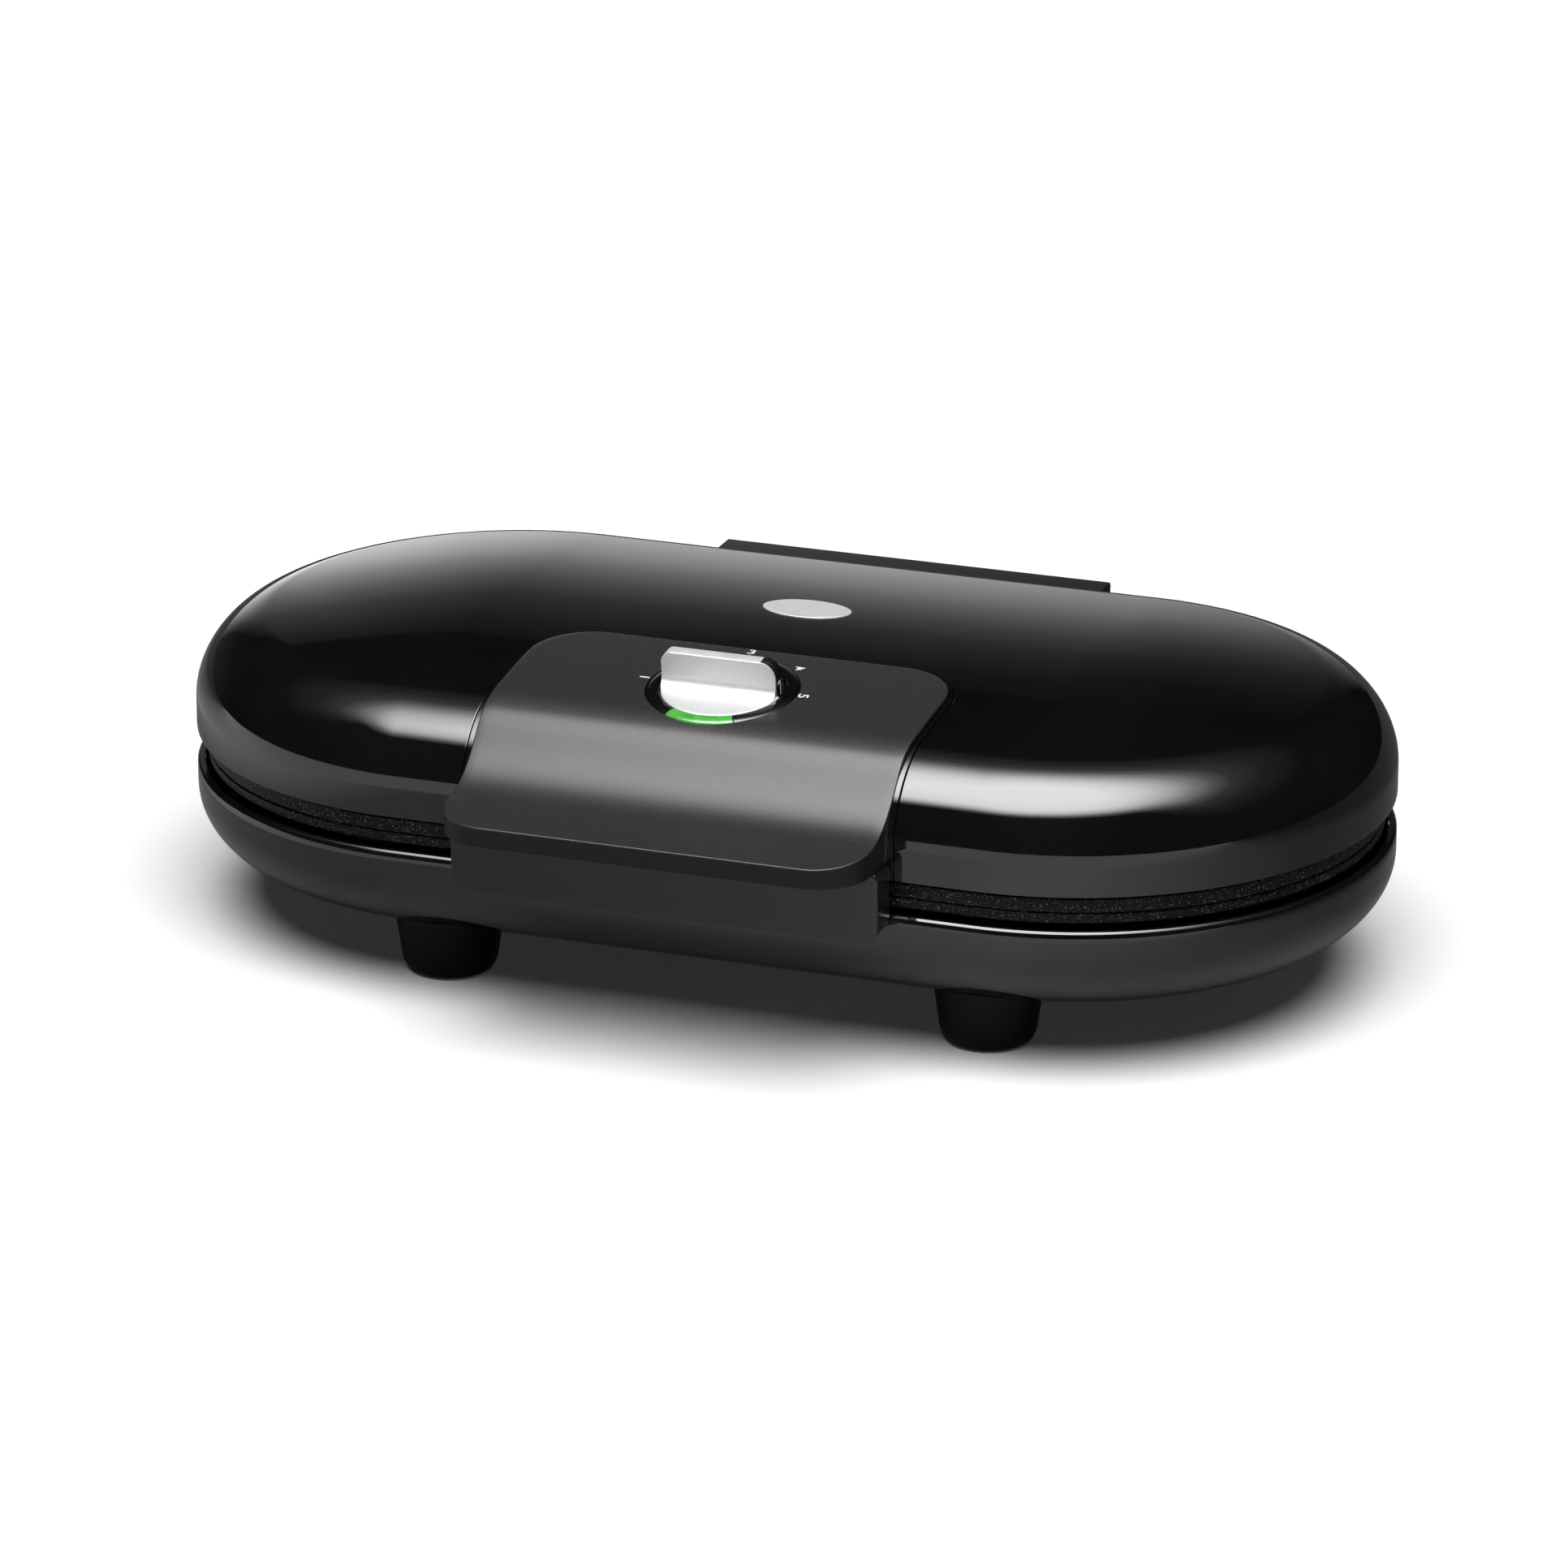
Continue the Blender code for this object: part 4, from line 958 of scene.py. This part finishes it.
def add_web(block, low_z, high_z, rear, x_low, x_high):
    """Joins a block to its knuckle; the web's ends stand back from the knuckle's."""
    outline = [(HINGE.y - WEB_FRONT, low_z), (HINGE.y + rear, low_z), (HINGE.y + rear, high_z),
               (HINGE.y - WEB_FRONT, high_z)]
    boolean(block, prism("web", outline, x_low + WEB_INSET, x_high - WEB_INSET, "X"), "UNION")


def make_base_block():
    low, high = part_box("base_hinge_block")
    top = HINGE.z - BLOCK_FOOT
    ledge = HINGE.z - LEDGE_DROP
    outline = [(REAR_Y + GAP, top)]
    for z in np.linspace(BASE_BEND_Z, low.z, 10):
        share = (BASE_BEND_Z - z) / (BASE_BEND_Z - BASE_BOTTOM_Z)
        inset = BASE_BEND_WIDTH * (1 - math.sqrt(1 - share * share)) * WIDEN
        outline.append((REAR_Y + GAP - inset, z))
    outline += [(high.y, low.z), (high.y, ledge), (HINGE.y + WEB_REAR, ledge), (HINGE.y + WEB_REAR, top)]
    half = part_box("lid_hinge_block")[1].x
    block = prism("rear_block_base", outline, -half, half, "X")
    soften(block, 0.7 * MM, 3, 40)
    for side in (-1, 1):
        start, end = sorted(side * x for x in BASE_KNUCKLE)
        add_web(block, top - WEB_SINK, HINGE.z, 5 * MM, start, end)
        boolean(block, barrel(f"base_barrel_{side}", start, end), "UNION")
        place = Matrix.Translation((side * 60 * MM, HINGE.y, HINGE.z)) @ SIDEWAYS
        boolean(block, turned("bore", mm((0, 20), (2.8, 20), (2.8, -20), (0, -20)), 48, place))
    seat = mm((0, 5), (8.3, 5), (8.3, -2.6), (5.7, -2.6), (5.7, -24), (0, -24))
    boolean(block, turned("seat", seat, 64, rearward(high.y)))
    weld(block)
    piece(smooth(block), BLOCK, "base", "base_hinge_block")


def rearward(y):
    """A place at the cord gland, with its axis pointing to the rear."""
    low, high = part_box("cord_gland")
    centre = (low + high) / 2
    return Matrix.Translation((centre.x, y, centre.z)) @ Matrix.Rotation(-math.pi / 2, 4, "X")


def make_gland():
    corners = mm((3.4, -3.6, 0), (3.4, 0, 0.6), (7.8, 0, 0.8), (7.8, -2, 0), (5.2, -2.2, 0), (5.2, -27, 0))
    gland = turned("lead_bush", filled(corners, 4), 64, rearward(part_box("cord_gland")[1].y))
    piece(smooth(gland), RUBBER, "base", "cord_gland")


def barrel(name, x_low, x_high):
    """A hinge knuckle with softened ends."""
    length = (x_high - x_low) / MM
    profile = filled(mm((3, length, 0), (7, length, 0.5), (7, 0, 0.5), (3, 0, 0)), 4)
    return turned(name, profile, 64, Matrix.Translation((x_low, HINGE.y, HINGE.z)) @ SIDEWAYS)


# ---- feet ----

FOOT_CORNERS = mm((19, 30, 0), (19, 21, 3), (16.6, 4.5, 4), (15, 0.7, 2.2), (11.3, 0.7, 0), (11.3, 2.4, 0))
PAD_CORNERS = mm((11, 2.1, 0), (11, 0, 0.5), (8, 0, 0))


def make_feet():
    hull_section = [(END_RADIUS, 70 * MM), (-GAP, 70 * MM), (-GAP, BASE_RIM_Z)]
    hull_section += [(inset - GAP * 0.5, z - GAP) for inset, z in base_curve()[4:]]
    hull_section[-1] = (END_RADIUS, BASE_BOTTOM_Z - GAP)
    hull = oblong("hull", hull_section, 48, 8)
    for row in ("front", "rear"):
        for side in ("left", "right"):
            name = f"foot_{row}_{side}"
            pad_low, pad_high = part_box(f"foot_pad_{row}_{side}")
            centre = Matrix.Translation(((pad_low.x + pad_high.x) / 2, (pad_low.y + pad_high.y) / 2, 0))
            foot = turned(f"foot_cup_{row}_{side}", filled(FOOT_CORNERS, 6), 64, centre)
            boolean(foot, hull, keep_tool=True)
            piece(smooth(foot), FOOT, "base", name)
            pad = turned(f"foot_sole_{row}_{side}", filled(PAD_CORNERS, 4), 64, centre)
            piece(smooth(pad), RUBBER, "base", f"foot_pad_{row}_{side}")
    bpy.data.objects.remove(hull)


# ---- mould plates ----

MOULD_PITCH = 94 * MM
RING_RADIUS = 24.5 * MM
RING_HALF = 15 * MM
RING_DEPTH = 13 * MM
CAST_WALL = 3 * MM
RIM_FLARE = 1.2 * MM
FACE_CLEARANCE = 2 * MM


def ring_section(half, depth, start, steps):
    """Half section (radius, depth) of the outside of a ring mould."""
    return [(RING_RADIUS + half * math.cos(angle), max(depth * math.sin(angle), start))
            for angle in np.linspace(0, math.pi, steps + 1)]


def trough_section():
    """Half section (radius, depth) of a ring mould's trough, with edges that flare out into the face."""
    bowl = [(r, z) for r, z in ring_section(RING_HALF, RING_DEPTH, 0, 20) if z > RIM_FLARE]
    outer = [(RING_RADIUS + RING_HALF + RIM_FLARE * (1 - math.sin(a)), RIM_FLARE * (1 - math.cos(a)))
             for a in np.linspace(0, math.pi / 2, 5)]
    inner = [(2 * RING_RADIUS - r, z) for r, z in outer[::-1]]
    beyond = RING_HALF + RIM_FLARE + FACE_CLEARANCE / 2
    return ([(RING_RADIUS + beyond, -FACE_CLEARANCE)] + outer + bowl + inner
            + [(RING_RADIUS - beyond, -FACE_CLEARANCE)])


def make_plate(name, side, node, body):
    low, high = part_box(node)
    half_x, half_y = high.x, high.y - MIDDLE_Y
    face = high.z if side < 0 else low.z
    thickness = 3.4 * MM if side < 0 else 5 * MM
    ends = [(STRAIGHT_HALF + (half_x - STRAIGHT_HALF) * math.cos(a), MIDDLE_Y + half_y * math.sin(a))
            for a in np.linspace(-math.pi / 2, math.pi / 2, 73)]
    outline = ends + [(-x, 2 * MIDDLE_Y - y) for x, y in ends]
    back = face + side * thickness
    plate = prism(name, outline, min(face, back), max(face, back))
    soften(plate, 0.5 * MM, 3, 60)
    bowls, troughs = [], []
    for row in (-0.5, 0.5):
        for column in (-1.5, -0.5, 0.5, 1.5):
            place = Matrix.Translation((column * MOULD_PITCH, MIDDLE_Y + row * MOULD_PITCH, face))
            bowl = ring_section(RING_HALF + CAST_WALL, RING_DEPTH + CAST_WALL, 1.4 * MM, 10)[::-side]
            bowls.append(turned("bowl", [(r, side * z) for r, z in bowl], 48, place))
            trough = trough_section()[::-side]
            troughs.append(turned("trough", [(r, side * z) for r, z in trough], 72, place))
    boolean_many(plate, bowls, "UNION")
    boolean_many(plate, troughs, "DIFFERENCE")
    piece(smooth(plate, 40), COATING, body, node)


def boolean_many(obj, tools, operation):
    """One Boolean with several tools that don't touch each other."""
    joined = bmesh.new()
    for tool in tools:
        joined.from_mesh(tool.data)
        bpy.data.objects.remove(tool)
    boolean(obj, new_object("tools", joined), operation)


# ---- CAD nodes that stay, with better materials ----

KEPT = {
    STEEL: ("hinge_pin_left", "hinge_pin_right", "lower_heating_element", "upper_heating_element",
            "thermostat_body", "thermostat_shaft",
            *(f"{level}_plate_screw_{place}" for level in ("lower", "upper")
              for place in ("left", "centre", "right"))),
    SHEET: ("lower_heat_shield", "upper_heat_shield"),
    INSULATOR: ("terminal_block", "thermal_fuse"),
    WIRE: ("lower_element_wire", "upper_element_wire", "fuse_wire"),
    LENS: ("indicator_lamp",),
}


def finish_kept_nodes():
    for finish, names in KEPT.items():
        for name in names:
            node = frame["nodes"][name]
            node.data.materials.clear()
            node.data.materials.append(finish)
            smooth(node)


# ---- stage ----

CAMERA_AZIMUTH = math.radians(20.11)
CAMERA_ELEVATION = math.radians(19.83)
CAMERA_DISTANCE = 2.79219
CAMERA_TARGET = Vector((-2.41 * MM, MIDDLE_Y, 53.97 * MM))
CAMERA_LENS = 183.57
FLOOR_HALF = 12
# painted light fall-off across the mirrored floor (FLOOR_...), and its painted shadow near the object
# (SHADE_...)
FLOOR_SLANT = (0.25, 1, 0)
FLOOR_FADE = (-0.5, 0.35)
SHADE_DEPTH = 0.6
SHADE_EDGE = (0.35, 0.39)
SHADE_SIDE = (-0.15, 0.1)
FLOOR_STOPS = ((0.0, 1.0), (0.3, 1.0), (0.55, 0.45), (0.72, 0.18), (1.0, 0.06))
OVERHEAD_LIGHT = 3.9
OVERHEAD_SPREAD = math.radians(55)
OVERHEAD_TILT = (math.radians(18), math.radians(8), 0)
SOFTBOX_CENTRE = (0.037, -0.392, 1.1)
SOFTBOX_HALF = (0.644, 0.482)
SOFTBOX_TURN = math.radians(21)
SOFTBOX_STRENGTH = 17.5
SOFTBOX_REACH = 4  # the stops below run to this many times the softbox's half size
CRISP_STOPS = ((0.125, 1.0), (0.2, 0.88), (0.25, 0.5), (0.29, 0.12), (0.33, 0.0))
FADING_STOPS = ((0.125, 1.0), (0.19, 0.8), (0.25, 0.5), (0.3, 0.24), (0.35, 0.09), (0.4, 0.03),
                (0.5, 0.01), (0.7, 0.0))
BACKDROP_SIDEWAYS = (math.cos(math.radians(26)), math.sin(math.radians(26)), 0)
BACKDROP_RISE = ((0.06, 1.0), (0.14, 0.76), (0.2, 0.46), (0.26, 0.24), (0.32, 0.1), (0.4, 0.03),
                 (0.47, 0.0))
BACKDROP_LEFT = -0.3
BACKDROP_RIGHT = 0.45
BACKDROP_STRENGTH = 2.2
WHITE = (1, 1, 1, 1)


def make_camera():
    back = Vector((math.sin(CAMERA_AZIMUTH) * math.cos(CAMERA_ELEVATION),
                   -math.cos(CAMERA_AZIMUTH) * math.cos(CAMERA_ELEVATION), math.sin(CAMERA_ELEVATION)))
    data = bpy.data.cameras.new("camera")
    data.lens = CAMERA_LENS
    data.sensor_width = 36
    camera = bpy.data.objects.new("camera", data)
    camera.location = CAMERA_TARGET + back * CAMERA_DISTANCE
    camera.rotation_mode = "QUATERNION"
    camera.rotation_quaternion = (-back).to_track_quat("-Z", "Y")
    bpy.context.scene.collection.objects.link(camera)
    bpy.context.scene.camera = camera


def hide_from(obj, *kinds):
    for kind in kinds:
        setattr(obj, f"visible_{kind}", False)


def make_floor():
    """A pale floor, and its twin that only the shine of the casing sees, painted with a fall-off of light:
    bright in front and dim behind.
    """
    for name in ("floor", "mirrored_floor"):
        mirrored = name == "mirrored_floor"
        bm = bmesh.new()
        bmesh.ops.create_grid(bm, x_segments=2, y_segments=2, size=FLOOR_HALF)
        floor = new_object(name, bm)
        made, shader = node_material(f"pale_{name}", (0.9, 0.9, 0.9), 0.9)
        shader.inputs["Specular IOR Level"].default_value = 0.0
        colour = blend_colours(made, noise(made, 1.5, 2), (0.91, 0.91, 0.91), (0.93, 0.93, 0.93))
        if mirrored:
            # painted light fall-off from front to rear, times a painted shadow near the object
            slant = vector_value(made, "DOT_PRODUCT", object_coordinates(made), FLOOR_SLANT)
            level = ramp(made, spread(made, slant, 0, 1, *FLOOR_FADE), FLOOR_STOPS)
            colour = multiply(made, level, near_shade(made))
        link(made, colour, shader.inputs["Base Color"])
        # painted light: both floors glow faintly, which stands in for soft fill light and lifts the shadow
        # under the object
        shader.inputs["Emission Color"].default_value = WHITE
        shader.inputs["Emission Strength"].default_value = 0.02
        floor.data.materials.append(made)
        floor.location.z = GAP if mirrored else 0
        floor.visible_glossy = mirrored
        if mirrored:
            hide_from(floor, "camera", "diffuse", "shadow")


def near_shade(made):
    """Dims the floor close to the left half of the object, where its own soft shadow lies."""
    place = object_coordinates(made)
    near = spread(made, vector_value(made, "LENGTH", place), SHADE_DEPTH, 0.0, *SHADE_EDGE)
    left = spread(made, split_axes(made, place)["X"], 1.0, 0.0, *SHADE_SIDE)
    return spread(made, multiply(made, near, left), 1.0, 0.0, 0.0, 1.0)


def lateral_stops():
    """Brightness of the backdrop from left to right: one bright panel on the left, dim to its right."""
    offsets = (BACKDROP_LEFT, -0.24, -0.19, -0.07, -0.03, 0.017, 0.052, 0.105, 0.17, 0.24, 0.31,
               BACKDROP_RIGHT)
    levels = (0.02, 0.14, 0.34, 0.77, 1.0, 0.8, 0.59, 0.45, 0.28, 0.25, 0.13, 0.0)
    return [((offset - BACKDROP_LEFT) / (BACKDROP_RIGHT - BACKDROP_LEFT), level)
            for offset, level in zip(offsets, levels)]


def make_world():
    """White behind everything for the camera; in reflections, a backdrop that fades out upwards."""
    world = bpy.data.worlds.new("studio")
    bpy.context.scene.world = world
    world.use_nodes = True
    world.node_tree.nodes.clear()
    direction = add_node(world, "ShaderNodeTexCoord").outputs["Generated"]
    axes = split_axes(world, direction)
    aside = vector_value(world, "DOT_PRODUCT", direction, BACKDROP_SIDEWAYS)
    across = spread(world, aside, 0, 1, BACKDROP_LEFT, BACKDROP_RIGHT)
    behind = spread(world, axes["Y"], 0, BACKDROP_STRENGTH, 0.2, 0.6)
    upright = multiply(world, ramp(world, axes["Z"], BACKDROP_RISE), ramp(world, across, lateral_stops()))
    seen = add_node(world, "ShaderNodeBackground", Strength=1.05, Color=WHITE)
    mirrored = add_node(world, "ShaderNodeBackground", Color=WHITE)
    link(world, multiply(world, upright, behind), mirrored.inputs["Strength"])
    path = add_node(world, "ShaderNodeLightPath")
    mix = add_node(world, "ShaderNodeMixShader")
    link(world, path.outputs["Is Camera Ray"], mix.inputs["Fac"])
    link(world, mirrored.outputs["Background"], mix.inputs[1])
    link(world, seen.outputs["Background"], mix.inputs[2])
    output = add_node(world, "ShaderNodeOutputWorld")
    link(world, mix.outputs["Shader"], output.inputs["Surface"])


def make_softbox():
    """An oval softbox overhead in front, seen only in reflections: crisp in front, fading to the rear."""
    bm = bmesh.new()
    bmesh.ops.create_grid(bm, x_segments=2, y_segments=2, size=2.2)
    softbox = new_object("softbox", bm)
    softbox.location = SOFTBOX_CENTRE
    made = bpy.data.materials.new("softbox")
    made.use_nodes = True
    made.node_tree.nodes.clear()
    coordinates = object_coordinates(made)
    oval = add_node(made, "ShaderNodeMapping", vector_type="TEXTURE", Rotation=(0, 0, SOFTBOX_TURN),
                    Scale=(*SOFTBOX_HALF, 1))
    link(made, coordinates, oval.inputs["Vector"])
    share = spread(made, vector_value(made, "LENGTH", oval.outputs["Vector"]), 0, 1, 0, SOFTBOX_REACH)
    mix = add_node(made, "ShaderNodeMix")
    link(made, spread(made, split_axes(made, coordinates)["Y"], 0, 1, -0.2, 0.15), mix.inputs["Factor"])
    link(made, ramp(made, share, CRISP_STOPS), mix.inputs["A"])
    link(made, ramp(made, share, FADING_STOPS), mix.inputs["B"])
    strength = add_node(made, "ShaderNodeMath", operation="MULTIPLY")
    strength.inputs[1].default_value = SOFTBOX_STRENGTH
    link(made, mix.outputs["Result"], strength.inputs[0])
    glow = add_node(made, "ShaderNodeEmission")
    link(made, strength.outputs["Value"], glow.inputs["Strength"])
    output = add_node(made, "ShaderNodeOutputMaterial")
    link(made, glow.outputs["Emission"], output.inputs["Surface"])
    softbox.data.materials.append(made)
    hide_from(softbox, "camera", "diffuse", "shadow", "transmission")


def make_lights():
    """Soft light from above in front for the matt surfaces and the shadow, and the softbox for the shine."""
    data = bpy.data.lights.new("overhead", "SUN")
    data.energy = OVERHEAD_LIGHT
    data.angle = OVERHEAD_SPREAD
    overhead = bpy.data.objects.new("overhead", data)
    bpy.context.scene.collection.objects.link(overhead)
    overhead.rotation_euler = OVERHEAD_TILT
    overhead.visible_glossy = False
    make_softbox()


def make_stage():
    make_camera()
    make_floor()
    make_world()
    make_lights()
    bpy.context.scene.view_settings.view_transform = "Standard"


make_lid()
make_base()
make_panel()
make_front_grip()
make_knob()
make_dial()
make_numbers()
make_badge()
make_lid_block()
make_base_block()
make_gland()
make_feet()
make_plate("lower_mould_plate", -1, "lower_plate", "base")
make_plate("upper_mould_plate", 1, "upper_plate", "lid")
finish_kept_nodes()
make_stage()
